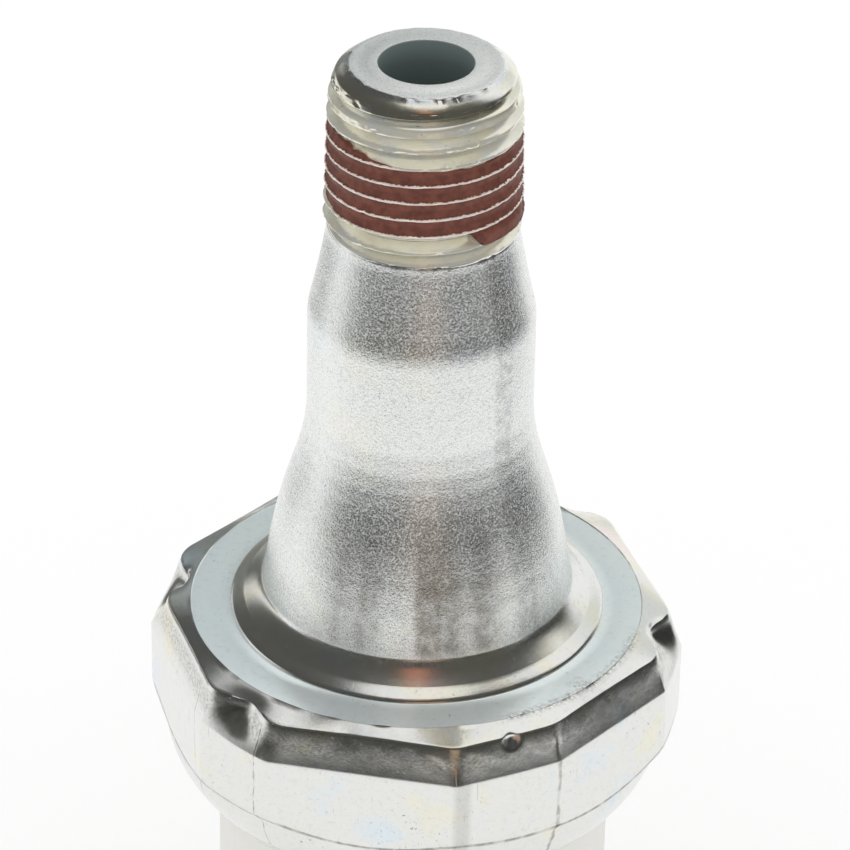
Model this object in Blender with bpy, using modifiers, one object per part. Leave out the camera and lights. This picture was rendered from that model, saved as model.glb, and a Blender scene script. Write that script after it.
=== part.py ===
"""Oil pressure sender: a formed steel housing with a tapered pipe thread, closed by a plastic
connector body, with the diaphragm, lever and resistor that turn oil pressure into a signal.

The sender stands on the rim of its socket with the thread pointing up. Its axis is the Z axis,
Z = 0 is the socket's rim, and one flat of the hexagon faces -Y.
"""
import math

import bmesh
import bpy
from mathutils import Matrix, Vector

MM = 0.001

# Clearances
SEAT_GAP = 0.3 * MM            # between pieces that rest on each other
TIGHT_GAP = 0.1 * MM           # between the small pieces of the mechanism

# Connector body
SOCKET_DEPTH = 11.0 * MM
WEB_THICKNESS = 2.0 * MM
CAVITY_DEPTH = 11.2 * MM
BODY_WALL = 1.2 * MM
BODY_EDGE_ROUNDING = 1.4 * MM
SHROUD_LENGTH = 20.0 * MM
SHROUD_WIDTH = 14.0 * MM
SHROUD_WALL = 1.8 * MM
SHROUD_END_ROUNDING = 5.0 * MM
LATCH_WIDTH = 5.0 * MM
LATCH_HEIGHT = 3.2 * MM
LATCH_DEPTH = 1.4 * MM
LATCH_SETBACK = 4.5 * MM
KEY_RIB_WIDTH = 1.2 * MM
KEY_RIB_DEPTH = 0.9 * MM
KEY_RIB_SPACING = 6.0 * MM
FLANGE_THICKNESS = 2.6 * MM
SEAL_SECTION = 1.0 * MM

# Parts clamped under the housing's roof, from the bottom up
PLATE_THICKNESS = 0.8 * MM
CLAMP_RING_THICKNESS = 1.0 * MM
CLAMP_RING_WIDTH = 2.6 * MM
DIAPHRAGM_THICKNESS = 0.3 * MM
DIAPHRAGM_WAVES = 2
DIAPHRAGM_WAVE_HEIGHT = 0.35 * MM
GASKET_THICKNESS = 0.6 * MM
ROOF_THICKNESS = 1.6 * MM

# Hexagon of the housing
ACROSS_FLATS = 26.6 * MM
CORNER_CUT = 1.1 * MM
HOUSING_WALL = 1.8 * MM
SHOULDER_ROUNDING = 1.5 * MM
FLAT_HEIGHT = 5.4 * MM
CORNER_DENT = 0.6 * MM
CORNER_DENT_HALF_ANGLE = math.radians(5.0)
SKIRT_STEP = 0.1 * MM
ROLL_LEAN = 0.15 * MM
RIM_THICKNESS = 1.3 * MM
RIM_REACH = 0.6 * MM
RIM_FLAT = 0.9 * MM

# Neck and thread, from the lip at the neck's foot up
LIP_RADIUS = 9.55 * MM
LIP_HEIGHT = 0.37 * MM
LIP_WIDTH = 0.35 * MM
LIP_DROP = 0.19 * MM
LIP_FOOT = 0.2 * MM
FOOT_SLOPE = math.radians(36)  # of the cone between the neck and the lip
FOOT_LEAN = 0.05 * MM
NECK_BASE_RADIUS = 8.18 * MM
NECK_BASE_HEIGHT = 1.55 * MM
NECK_RADIUS = 5.9 * MM
FLARE_HEIGHT = 10.25 * MM
FLARE_TOP_REACH = 1.9 * MM
FLARE_BOTTOM_REACH = 4.9 * MM
FLARE_LEAN = 0.4 * MM
STRAIGHT_HEIGHT = 6.2 * MM
CONE_HEIGHT = 3.6 * MM
CONE_EDGE = 0.3 * MM
THREAD_LENGTH = 9.0 * MM
THREAD_RADIUS = 5.14 * MM
THREAD_TAPER = 1.0 / 32.0
THREAD_PITCH = 25.4 / 27 * MM
THREAD_DEPTH = 0.66 * MM
CREST_WIDTH = 0.12 * MM
CREST_SETBACK = 5.34 * MM      # from the thread's end to a crest, in CREST_DIRECTION
CREST_DIRECTION = math.radians(-79)
RUNOUT_LENGTH = 1.4 * MM
RUNOUT_DEPTH = 0.25 * MM
END_FACE_RADIUS = 3.9 * MM
END_CHAMFER_LENGTH = 1.2 * MM
END_CHAMFER_BREAK = 0.4        # share of the chamfer that is steeper, at the end face
BORE_RADIUS = 2.4 * MM
BORE_EDGE = 0.3 * MM
CHAMBER_RADIUS = 7.6 * MM
CHAMBER_STEP = 0.6 * MM
CHAMBER_CONE_LENGTH = 7.0 * MM

# Snubber
SNUBBER_LENGTH = 6.0 * MM
SNUBBER_ORIFICE = 0.35 * MM
SNUBBER_SETBACK = 16.0 * MM

# Mechanism
PUSHER_TRAVEL = 1.0 * MM
PUSHER_HEAD_RADIUS = 2.6 * MM
PUSHER_HEAD_THICKNESS = 0.9 * MM
PUSHER_STEM_RADIUS = 1.0 * MM
PIVOT_OFFSET = 3.0 * MM
PIVOT_HEIGHT = 6.6 * MM
PIN_RADIUS = 0.7 * MM
EAR_THICKNESS = 0.7 * MM
EAR_WIDTH = 3.0 * MM
EAR_SPACING = 5.2 * MM
LEVER_THICKNESS = 0.7 * MM
LEVER_WIDTH = 3.2 * MM
LEVER_LENGTH = 7.4 * MM
LEVER_BARREL_WALL = 0.6 * MM
SCREW_RADIUS = 0.8 * MM
SCREW_RISE = 1.6 * MM
SCREW_DROP = 1.5 * MM
SCREW_SLOT = 0.4 * MM
LEAF_THICKNESS = 0.2 * MM
LEAF_WIDTH = 2.6 * MM
LEAF_OVERLAP = 2.6 * MM
LEAF_TAB_DROP = 1.5 * MM
RIVET_RADIUS = 0.35 * MM
RIVET_SPACING = 1.4 * MM
RIVET_HEAD_RADIUS = 0.6 * MM
RIVET_HEAD_HEIGHT = 0.25 * MM
CONTACT_RADIUS = 0.6 * MM
CONTACT_HEIGHT = 0.5 * MM
SPRING_ARM = 5.3 * MM
SPRING_RADIUS = 1.1 * MM
SPRING_WIRE_RADIUS = 0.2 * MM
SPRING_TURNS = 5
SPIGOT_HEIGHT = 1.4 * MM

# Resistor
CARD_WIDTH = 5.0 * MM
CARD_THICKNESS = 1.0 * MM
CARD_SOCKET_HEIGHT = 2.2 * MM
CARD_SOCKET_WALL = 0.8 * MM
WIRE_RADIUS = 0.125 * MM
WINDING_TURNS = 16
WINDING_BOTTOM = 3.0 * MM
WINDING_LENGTH = 6.4 * MM

# Electrical parts
BLADE_WIDTH = 2.8 * MM
BLADE_THICKNESS = 0.8 * MM
BLADE_OFFSET = 4.9 * MM
BLADE_SETBACK = 2.5 * MM
BLADE_RISE = 2.3 * MM
BLADE_TIP_CHAMFER = 0.25 * MM
BLADE_SEAL_WALL = 0.5 * MM
BLADE_SEAL_DEPTH = 1.0 * MM
STRIP_THICKNESS = 0.25 * MM
STRIP_WIDTH = 2.0 * MM
STRIP_FOOT = 1.2 * MM
STRIP_RISE = 1.2 * MM

# Facets
ROUND_STEPS = 48
FINE_STEPS = 20
COIL_POINTS = 12

# Sides of the paired pieces: along Y for ears and rivets, along X for blades
FRONT_AND_BACK = (("front", -1), ("back", 1))
BLADES = (("ground", -1), ("signal", 1))

# Levels along the axis, worked out from the sizes above
WEB_TOP = SOCKET_DEPTH + WEB_THICKNESS
FLANGE_TOP = WEB_TOP + CAVITY_DEPTH
FLANGE_BOTTOM = FLANGE_TOP - FLANGE_THICKNESS
PLATE_BOTTOM = FLANGE_TOP + SEAT_GAP
PLATE_TOP = PLATE_BOTTOM + PLATE_THICKNESS
CLAMP_BOTTOM = PLATE_TOP + SEAT_GAP
CLAMP_TOP = CLAMP_BOTTOM + CLAMP_RING_THICKNESS
DIAPHRAGM_BOTTOM = CLAMP_TOP + SEAT_GAP
DIAPHRAGM_TOP = DIAPHRAGM_BOTTOM + DIAPHRAGM_THICKNESS
GASKET_BOTTOM = DIAPHRAGM_TOP + SEAT_GAP
GASKET_TOP = GASKET_BOTTOM + GASKET_THICKNESS
ROOF_BOTTOM = GASKET_TOP + SEAT_GAP
ROOF_TOP = ROOF_BOTTOM + ROOF_THICKNESS
FLARE_BOTTOM = ROOF_TOP + NECK_BASE_HEIGHT
FLARE_TOP = FLARE_BOTTOM + FLARE_HEIGHT
STRAIGHT_TOP = FLARE_TOP + STRAIGHT_HEIGHT
RUNOUT_BOTTOM = STRAIGHT_TOP + CONE_HEIGHT
THREAD_BOTTOM = RUNOUT_BOTTOM + RUNOUT_LENGTH
THREAD_END = THREAD_BOTTOM + THREAD_LENGTH
FLATS_TOP = ROOF_TOP - SHOULDER_ROUNDING
FLATS_BOTTOM = FLATS_TOP - FLAT_HEIGHT
RIM_TOP = FLANGE_BOTTOM - SEAT_GAP
RIM_BOTTOM = RIM_TOP - RIM_THICKNESS

# Radii worked out from the sizes above
SEAT_RADIUS = ACROSS_FLATS / 2 - HOUSING_WALL
CORNER_RADIUS = ACROSS_FLATS / 2 / math.cos(math.radians(30)) - CORNER_CUT
SKIRT_RADIUS = ACROSS_FLATS / 2 + SKIRT_STEP
RIM_RADIUS = SEAT_RADIUS - RIM_REACH
CLAMPED_RADIUS = SEAT_RADIUS - SEAT_GAP
DOME_RADIUS = RIM_RADIUS - SEAT_GAP
CAVITY_RADIUS = DOME_RADIUS - BODY_WALL
OPEN_RADIUS = CLAMPED_RADIUS - CLAMP_RING_WIDTH
PLATE_HOLE_RADIUS = PUSHER_HEAD_RADIUS + SEAT_GAP

# Places in the mechanism
PIVOT = Vector((-PIVOT_OFFSET, 0, WEB_TOP + PIVOT_HEIGHT))
SWEEP = 2 * math.asin(PUSHER_TRAVEL / 2 / PIVOT_OFFSET)
REST_TILT = SWEEP / 2
WINDING_WALL = TIGHT_GAP + 2 * WIRE_RADIUS
WINDING_HALF_WIDTH = CARD_WIDTH / 2 + WINDING_WALL
WINDING_BACK = math.sqrt(CAVITY_RADIUS ** 2 - WINDING_HALF_WIDTH ** 2) - SEAT_GAP
CARD_CENTRE = WINDING_BACK - WINDING_WALL - CARD_THICKNESS / 2
WINDING_FACE = CARD_CENTRE - CARD_THICKNESS / 2 - WINDING_WALL
WIPER_REACH = WINDING_FACE - SEAT_GAP / 2 + PIVOT_OFFSET
BLADE_TOP = WEB_TOP + BLADE_RISE
STRIP_LEVEL = BLADE_TOP + SEAT_GAP + STRIP_THICKNESS / 2


def clear_scene():
    for scene_object in list(bpy.data.objects):
        bpy.data.objects.remove(scene_object, do_unlink=True)


def make_collection(name):
    collection = bpy.data.collections.new(name)
    bpy.context.scene.collection.children.link(collection)
    return collection


def make_material(name, colour, roughness, metallic=0.0):
    material = bpy.data.materials.new(name)
    material.use_nodes = True
    shader = material.node_tree.nodes["Principled BSDF"]
    shader.inputs["Base Color"].default_value = (*colour, 1.0)
    shader.inputs["Roughness"].default_value = roughness
    shader.inputs["Metallic"].default_value = metallic
    material.diffuse_color = (*colour, 1.0)
    return material


def add_object(name, mesh, collection, material=None):
    """Link a mesh to a collection as a named object and shade it by its angles."""
    new_object = bpy.data.objects.new(name, mesh)
    collection.objects.link(new_object)
    if material is not None:
        mesh.materials.append(material)
        mesh.shade_smooth()
        mesh.set_sharp_from_angle(angle=math.radians(35))
    else:
        new_object.hide_render = True
        new_object.display_type = "WIRE"
    return new_object


def mesh_from(bm, name):
    bmesh.ops.recalc_face_normals(bm, faces=bm.faces)
    mesh = bpy.data.meshes.new(name)
    bm.to_mesh(mesh)
    bm.free()
    return mesh


def turned(name, profile, collection, material=None, steps=ROUND_STEPS, closed=True):
    """A turned piece: a profile of (radius, height) that runs down the outer side."""
    mesh = bpy.data.meshes.new(name)
    corners = [(radius, 0, height) for radius, height in profile]
    edges = [(i, i + 1) for i in range(len(corners) - 1)]
    if closed:
        edges.append((len(corners) - 1, 0))
    mesh.from_pydata(corners, edges, [])
    piece = add_object(name, mesh, collection, material)
    screw = piece.modifiers.new("turn", "SCREW")
    screw.axis = "Z"
    screw.steps = steps
    screw.render_steps = steps
    screw.use_merge_vertices = True
    screw.merge_threshold = 0.000001
    screw.use_smooth_shade = True
    return piece


def ring_profile(inner, outer, bottom, top):
    return [(inner, top), (outer, top), (outer, bottom), (inner, bottom)]


def rod_profile(radius, bottom, top, edge=0.0):
    """A solid rod whose two ends lie on the axis, with chamfered edges."""
    if edge == 0:
        return [(0, top), (radius, top), (radius, bottom), (0, bottom)]
    return [(0, top), (radius - edge, top), (radius, top - edge),
            (radius, bottom + edge), (radius - edge, bottom), (0, bottom)]


def rod(name, radius, bottom, top, collection, material=None, steps=FINE_STEPS, edge=0.0):
    return turned(name, rod_profile(radius, bottom, top, edge), collection, material, steps, False)


def block(name, lower, upper, collection, material=None):
    """A box between two corners, from a unit cube."""
    bm = bmesh.new()
    bmesh.ops.create_cube(bm, size=1.0)
    lower, upper = Vector(lower), Vector(upper)
    size = upper - lower
    bmesh.ops.transform(bm, matrix=Matrix.Diagonal((*size, 1.0)), verts=bm.verts)
    bmesh.ops.translate(bm, vec=(lower + upper) / 2, verts=bm.verts)
    return add_object(name, mesh_from(bm, name), collection, material)


def plate(name, outline, thickness, collection, material=None):
    """A flat outline in XY with a thickness centred on Z = 0, made a mesh with welded caps."""
    curve = bpy.data.curves.new(name + "_outline", "CURVE")
    curve.dimensions = "2D"
    curve.fill_mode = "BOTH"
    curve.extrude = thickness / 2
    spline = curve.splines.new("POLY")
    spline.points.add(len(outline) - 1)
    for point, (x, y) in zip(spline.points, outline):
        point.co = (x, y, 0, 1)
    spline.use_cyclic_u = True
    carrier = bpy.data.objects.new(name + "_outline", curve)
    collection.objects.link(carrier)
    bpy.context.view_layer.update()
    evaluated = carrier.evaluated_get(bpy.context.evaluated_depsgraph_get())
    flat_mesh = bpy.data.meshes.new_from_object(evaluated)
    bpy.data.objects.remove(carrier, do_unlink=True)
    bm = bmesh.new()
    bm.from_mesh(flat_mesh)
    bpy.data.meshes.remove(flat_mesh)
    bmesh.ops.remove_doubles(bm, verts=bm.verts, dist=0.000001)
    return add_object(name, mesh_from(bm, name), collection, material)


def oval_outline(length, width, rounding, steps=6):
    """A rectangle with rounded corners, points counter-clockwise."""
    rounding = min(rounding, length / 2, width / 2)
    points = []
    for quarter in range(4):
        sign_x = 1 if quarter in (0, 3) else -1
        sign_y = 1 if quarter in (0, 1) else -1
        centre_x = sign_x * (length / 2 - rounding)
        centre_y = sign_y * (width / 2 - rounding)
        for step in range(steps + 1):
            angle = math.radians(90) * (quarter + step / steps)
            points.append((centre_x + rounding * math.cos(angle),
                           centre_y + rounding * math.sin(angle)))
    return points


def oval_prism(name, length, width, rounding, bottom, top, collection, material=None):
    prism = plate(name, oval_outline(length, width, rounding), top - bottom, collection, material)
    prism.location.z = (bottom + top) / 2
    return prism


def strip(name, path, width, thickness, collection, material):
    """A bent strip: a path of (x, z) swept along Y as an open sheet with Solidify."""
    bm = bmesh.new()
    pairs = [[bm.verts.new((x, side * width / 2, z)) for side in (-1, 1)] for x, z in path]
    for (left, right), (next_left, next_right) in zip(pairs, pairs[1:]):
        bm.faces.new((left, right, next_right, next_left))
    piece = add_object(name, mesh_from(bm, name), collection, material)
    solidify = piece.modifiers.new("thickness", "SOLIDIFY")
    solidify.thickness = thickness
    solidify.offset = 0
    solidify.use_even_offset = True
    return piece


def boolean(piece, tool, operation="DIFFERENCE"):
    modifier = piece.modifiers.new(operation.lower(), "BOOLEAN")
    modifier.operation = operation
    modifier.object = tool
    modifier.solver = "EXACT"


def hang(pieces, parent):
    for piece in pieces:
        piece.parent = parent


def hex_radius(angle, dent=0.0):
    """Distance from the axis to the hexagon's wall: flats between truncated, dented corners."""
    turn = (math.degrees(angle) + 90 + 30) % 60 - 30
    from_flat = abs(math.radians(turn))
    radius = min(ACROSS_FLATS / 2 / math.cos(from_flat), CORNER_RADIUS)
    from_corner = math.radians(30) - from_flat
    return radius - dent * max(0.0, 1 - from_corner / CORNER_DENT_HALF_ANGLE)


def sextant_angles():
    """Angles round the axis, closer together at the edges of each corner and at its dent."""
    edge = math.acos(ACROSS_FLATS / 2 / CORNER_RADIUS)
    corner = math.radians(30)
    dent = max(corner - CORNER_DENT_HALF_ANGLE, edge + (corner - edge) / 3)
    half = [edge / 3, edge * 2 / 3, edge, dent, (dent + corner) / 2]
    around = [-angle for angle in reversed(half)] + [0.0] + half + [corner]
    return [math.radians(60) * flat - math.radians(90) + angle for flat in range(6) for angle in around]


def flare_points(count=5):
    """The neck's flare as a curve that leaves the straight part along the axis."""
    top = Vector((NECK_RADIUS, FLARE_TOP))
    bottom = Vector((NECK_BASE_RADIUS, FLARE_BOTTOM))
    top_handle = top - Vector((0, FLARE_TOP_REACH))
    bottom_handle = bottom + Vector((-FLARE_LEAN, FLARE_BOTTOM_REACH))
    points = []
    for step in range(count + 1):
        t = step / count
        s = 1 - t
        point = s ** 3 * top + 3 * s * s * t * top_handle + 3 * s * t * t * bottom_handle + t ** 3 * bottom
        points.append((point.x, point.y))
    return points


def foot_points(count=2):
    """From the flare's end a short bend into a straight cone, out to the lip's inner edge."""
    start = Vector((NECK_BASE_RADIUS, FLARE_BOTTOM))
    end = Vector((LIP_RADIUS - LIP_WIDTH, ROOF_TOP + LIP_HEIGHT + LIP_DROP))
    handle_radius = NECK_BASE_RADIUS + FOOT_LEAN
    handle = Vector((handle_radius, end.y + (end.x - handle_radius) * math.tan(FOOT_SLOPE)))
    points = []
    for step in range(1, count + 1):
        share = step / count
        points.append(tuple(start.lerp(handle, share).lerp(handle.lerp(end, share), share)))
    return points


def taper_radius(height):
    return THREAD_RADIUS - THREAD_TAPER * (height - THREAD_BOTTOM)


def chamfer_break():
    """Radius and height at which the end's chamfer grows steeper, where the thread starts."""
    edge_radius = taper_radius(THREAD_END - END_CHAMFER_LENGTH)
    return (END_FACE_RADIUS + 2 * edge_radius) / 3, THREAD_END - END_CHAMFER_LENGTH * END_CHAMFER_BREAK


def crest_radius(height):
    """Radius over the thread's crests: the taper, cut by the chamfer near the end."""
    break_radius, break_height = chamfer_break()
    chamfer_foot = THREAD_END - END_CHAMFER_LENGTH
    if height < chamfer_foot:
        return taper_radius(height)
    share = (height - chamfer_foot) / (break_height - chamfer_foot)
    return taper_radius(chamfer_foot) * (1 - share) + break_radius * share


def plain(radius, height):
    """A round ring. Every ring is a function from an angle to a radius and a height."""
    return lambda angle: (radius, height)


def wall(height, inset=0.0, dent=0.0):
    """A ring on the hexagon's wall, or inside it by an inset."""
    return lambda angle: (hex_radius(angle, dent) - inset, height)


def wall_foot(angle):
    """Lower edge of the hexagon, which rises towards the corners on a 45-degree cone."""
    radius = hex_radius(angle)
    return radius, FLATS_BOTTOM + radius - ACROSS_FLATS / 2


def housing_rings():
    """Rings once round the housing's section, from the thread's foot to the thread's start."""
    profile = [
        (THREAD_RADIUS, THREAD_BOTTOM),
        (THREAD_RADIUS - RUNOUT_DEPTH, THREAD_BOTTOM - RUNOUT_LENGTH / 3),
        (THREAD_RADIUS, RUNOUT_BOTTOM),
        (NECK_RADIUS - CONE_EDGE / 6, STRAIGHT_TOP + CONE_EDGE),
        (NECK_RADIUS, STRAIGHT_TOP - CONE_EDGE),
        *flare_points(),
        *foot_points(),
        (LIP_RADIUS, ROOF_TOP + LIP_HEIGHT),
        (LIP_RADIUS + LIP_FOOT * 0.6, ROOF_TOP + LIP_HEIGHT * 0.4),
        (LIP_RADIUS + LIP_FOOT, ROOF_TOP),
    ]
    rings = [plain(radius, height) for radius, height in profile]
    shoulder_steps = 3
    for step in range(shoulder_steps + 1):
        turn = math.radians(90) * step / shoulder_steps
        rings.append(wall(FLATS_TOP + SHOULDER_ROUNDING * math.cos(turn),
                          SHOULDER_ROUNDING * (1 - math.sin(turn)), CORNER_DENT * math.sin(2 * turn)))
    rings.append(wall_foot)
    roll_top = Vector((SKIRT_RADIUS, FLATS_BOTTOM - SKIRT_STEP))
    roll_bottom = Vector((RIM_RADIUS + RIM_FLAT, RIM_BOTTOM))
    roll_handle = Vector((SKIRT_RADIUS - ROLL_LEAN, (roll_top.y + roll_bottom.y) / 2))
    roll_steps = 5
    for step in range(roll_steps + 1):
        share = step / roll_steps
        upper = roll_top.lerp(roll_handle, share)
        lower = roll_handle.lerp(roll_bottom, share)
        rings.append(plain(*upper.lerp(lower, share)))
    edge = min(RIM_THICKNESS / 4, RIM_REACH / 2)
    inner = [
        (RIM_RADIUS + edge, RIM_BOTTOM),
        (RIM_RADIUS, RIM_BOTTOM + edge),
        (RIM_RADIUS, RIM_TOP - edge),
        (RIM_RADIUS + edge, RIM_TOP),
        (SEAT_RADIUS, RIM_TOP),
        (SEAT_RADIUS, ROOF_BOTTOM),
        (CHAMBER_RADIUS, ROOF_BOTTOM),
        (CHAMBER_RADIUS, ROOF_BOTTOM + CHAMBER_STEP),
        (BORE_RADIUS, ROOF_BOTTOM + CHAMBER_STEP + CHAMBER_CONE_LENGTH),
        (BORE_RADIUS, THREAD_END - BORE_EDGE),
        (BORE_RADIUS + BORE_EDGE, THREAD_END),
        (END_FACE_RADIUS, THREAD_END),
        chamfer_break(),
    ]
    return rings + [plain(radius, height) for radius, height in inner]


def point_at(bm, angle, radius, height):
    return bm.verts.new((radius * math.cos(angle), radius * math.sin(angle), height))


def join(bm, corners):
    """A face between points of which some may be the same."""
    distinct = list(dict.fromkeys(corners))
    if len(distinct) > 2:
        bm.faces.new(distinct)


def add_thread(bm, angles, upper, lower):
    """A right-hand thread between two rings of points, from rows that climb a pitch in a turn.

    A turn has a row at either edge of its crest and one at its root. A row ends where it meets
    a ring, and there it goes on along the ring's own points.
    """
    bottom, top = lower[0].co.z, upper[0].co.z
    margin = CREST_WIDTH / 2
    fade = THREAD_PITCH
    row_places = ((-CREST_WIDTH / 2, 0.0), (CREST_WIDTH / 2, 0.0), (THREAD_PITCH / 2, THREAD_DEPTH))
    first_crest = THREAD_END - CREST_SETBACK
    turns_below = math.ceil((first_crest - bottom) / THREAD_PITCH) + 1
    turns_above = math.ceil((top - first_crest) / THREAD_PITCH) + 1
    rows = []
    for turn in range(-turns_below, turns_above + 1):
        for rise, depth in row_places:
            row = []
            for i, angle in enumerate(angles):
                climb = turn + (angle - CREST_DIRECTION) / (2 * math.pi)
                height = first_crest + THREAD_PITCH * climb + rise
                if height > top - margin:
                    row.append(upper[i])
                elif height < bottom + margin:
                    row.append(lower[i])
                else:
                    cut = depth * min(1.0, (height - bottom) / fade)
                    row.append(point_at(bm, angle, crest_radius(height) - cut, height))
            rows.append(row)
    for number, (row, next_row) in enumerate(zip(rows, rows[1:])):
        for i in range(len(angles) - 1):
            join(bm, (row[i], row[i + 1], next_row[i + 1], next_row[i]))
        turn_on = number + len(row_places)
        meets = rows[turn_on][0] if turn_on < len(rows) else upper[0]
        next_meets = rows[turn_on + 1][0] if turn_on + 1 < len(rows) else upper[0]
        join(bm, (row[-1], meets, next_meets, next_row[-1]))


def make_housing(collection, material):
    """One formed steel piece, lofted from its round neck to its six-sided wall and rolled rim."""
    bm = bmesh.new()
    angles = sextant_angles()
    loops = [[point_at(bm, angle, *ring(angle)) for angle in angles] for ring in housing_rings()]
    for loop, next_loop in zip(loops, loops[1:]):
        for i in range(len(angles)):
            j = (i + 1) % len(angles)
            bm.faces.new((loop[i], next_loop[i], next_loop[j], loop[j]))
    add_thread(bm, angles, loops[-1], loops[0])
    return add_object("housing", mesh_from(bm, "housing"), collection, material)


def make_snubber(collection, material):
    radius = BORE_RADIUS - TIGHT_GAP
    top = THREAD_END - SNUBBER_SETBACK
    bottom = top - SNUBBER_LENGTH
    mouth = radius / 2
    profile = [(mouth, top), (radius - BORE_EDGE, top), (radius, top - BORE_EDGE),
               (radius, bottom + BORE_EDGE), (radius - BORE_EDGE, bottom), (SNUBBER_ORIFICE, bottom),
               (SNUBBER_ORIFICE, top - SNUBBER_LENGTH / 3)]
    return turned("snubber", profile, collection, material, FINE_STEPS)


def make_gasket(collection, material):
    return turned("diaphragm_gasket", ring_profile(OPEN_RADIUS, CLAMPED_RADIUS, GASKET_BOTTOM, GASKET_TOP),
                  collection, material)


def make_diaphragm(collection, material):
    """A thin disc, flat under the gasket and over the pusher, waved in between."""
    inner = PUSHER_HEAD_RADIUS + SEAT_GAP
    outer = OPEN_RADIUS - SEAT_GAP
    steps = 4 * DIAPHRAGM_WAVES
    middle = (DIAPHRAGM_BOTTOM + DIAPHRAGM_TOP) / 2
    line = [(0, middle)]
    for step in range(steps + 1):
        share = step / steps
        wave = DIAPHRAGM_WAVE_HEIGHT * (1 - math.cos(2 * math.pi * DIAPHRAGM_WAVES * share)) / 2
        line.append((inner + (outer - inner) * share, middle + wave))
    line.append((CLAMPED_RADIUS, middle))
    half = DIAPHRAGM_THICKNESS / 2
    upper = [(radius, height + half) for radius, height in line]
    lower = [(radius, height - half) for radius, height in reversed(line)]
    return turned("diaphragm", upper + lower, collection, material, 32, closed=False)


def make_clamp_ring(collection, material):
    return turned("clamp_ring", ring_profile(OPEN_RADIUS, CLAMPED_RADIUS, CLAMP_BOTTOM, CLAMP_TOP),
                  collection, material)


def make_pusher(collection, material):
    """Head under the diaphragm and a round-ended stem that stops just above the screw's tip."""
    tip_rest = PIVOT.z + PIVOT_OFFSET * math.sin(REST_TILT) + SCREW_RISE * math.cos(REST_TILT)
    stem_bottom = tip_rest + SEAT_GAP
    head_top = DIAPHRAGM_BOTTOM - SEAT_GAP
    head_bottom = head_top - PUSHER_HEAD_THICKNESS
    edge = PUSHER_HEAD_THICKNESS / 4
    profile = [(0, 0), (PUSHER_HEAD_RADIUS - edge, 0), (PUSHER_HEAD_RADIUS, -edge),
               (PUSHER_HEAD_RADIUS, head_bottom - head_top), (PUSHER_STEM_RADIUS, head_bottom - head_top)]
    for step in range(4):
        turn = math.radians(90) * step / 4
        profile.append((PUSHER_STEM_RADIUS * math.cos(turn),
                        stem_bottom + PUSHER_STEM_RADIUS / 2 * (1 - math.sin(turn)) - head_top))
    profile.append((0, stem_bottom - head_top))
    pusher = turned("pusher", profile, collection, material, 24, closed=False)
    pusher.location.z = head_top
    return pusher


def make_bracket(collection, cutters, material):
    """A stamped plate, clamped at its rim, with two ears that hold the pivot pin."""
    bracket = turned("mechanism_bracket",
                     ring_profile(PLATE_HOLE_RADIUS, CLAMPED_RADIUS, PLATE_BOTTOM, PLATE_TOP),
                     collection, material)
    drop = (PLATE_BOTTOM + PLATE_TOP) / 2 - PIVOT.z
    outline = [(-EAR_WIDTH / 2, drop), (-EAR_WIDTH / 2, 0)]
    for step in range(1, 8):
        angle = math.pi * (1 + step / 8)
        outline.append((EAR_WIDTH / 2 * math.cos(angle), EAR_WIDTH / 2 * math.sin(angle)))
    outline += [(EAR_WIDTH / 2, 0), (EAR_WIDTH / 2, drop)]
    for label, side in FRONT_AND_BACK:
        ear = plate("ear_" + label, outline, EAR_THICKNESS, cutters)
        ear.rotation_euler.x = math.radians(90)
        ear.location = PIVOT + Vector((0, side * (EAR_SPACING + EAR_THICKNESS) / 2, 0))
        boolean(bracket, ear, "UNION")
    reach = EAR_SPACING / 2 + 2 * EAR_THICKNESS
    pin_hole = rod("ear_pin_hole", PIN_RADIUS + TIGHT_GAP, -reach, reach, cutters)
    pin_hole.rotation_euler.x = math.radians(90)
    pin_hole.location = PIVOT
    boolean(bracket, pin_hole)
    return bracket


def make_pivot_pin(collection, material):
    """A straight pin through both ears, with a peened head outside each of them."""
    half = EAR_SPACING / 2 + EAR_THICKNESS + TIGHT_GAP
    head = PIN_RADIUS * 1.5
    rise = PIN_RADIUS / 2
    profile = [(0, half + rise), (head - rise / 2, half + rise), (head, half + rise / 2), (head, half),
               (PIN_RADIUS, half), (PIN_RADIUS, -half), (head, -half), (head, -half - rise / 2),
               (head - rise / 2, -half - rise), (0, -half - rise)]
    pin = turned("pivot_pin", profile, collection, material, FINE_STEPS, closed=False)
    pin.rotation_euler.x = math.radians(90)
    pin.location = PIVOT
    return pin


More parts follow.
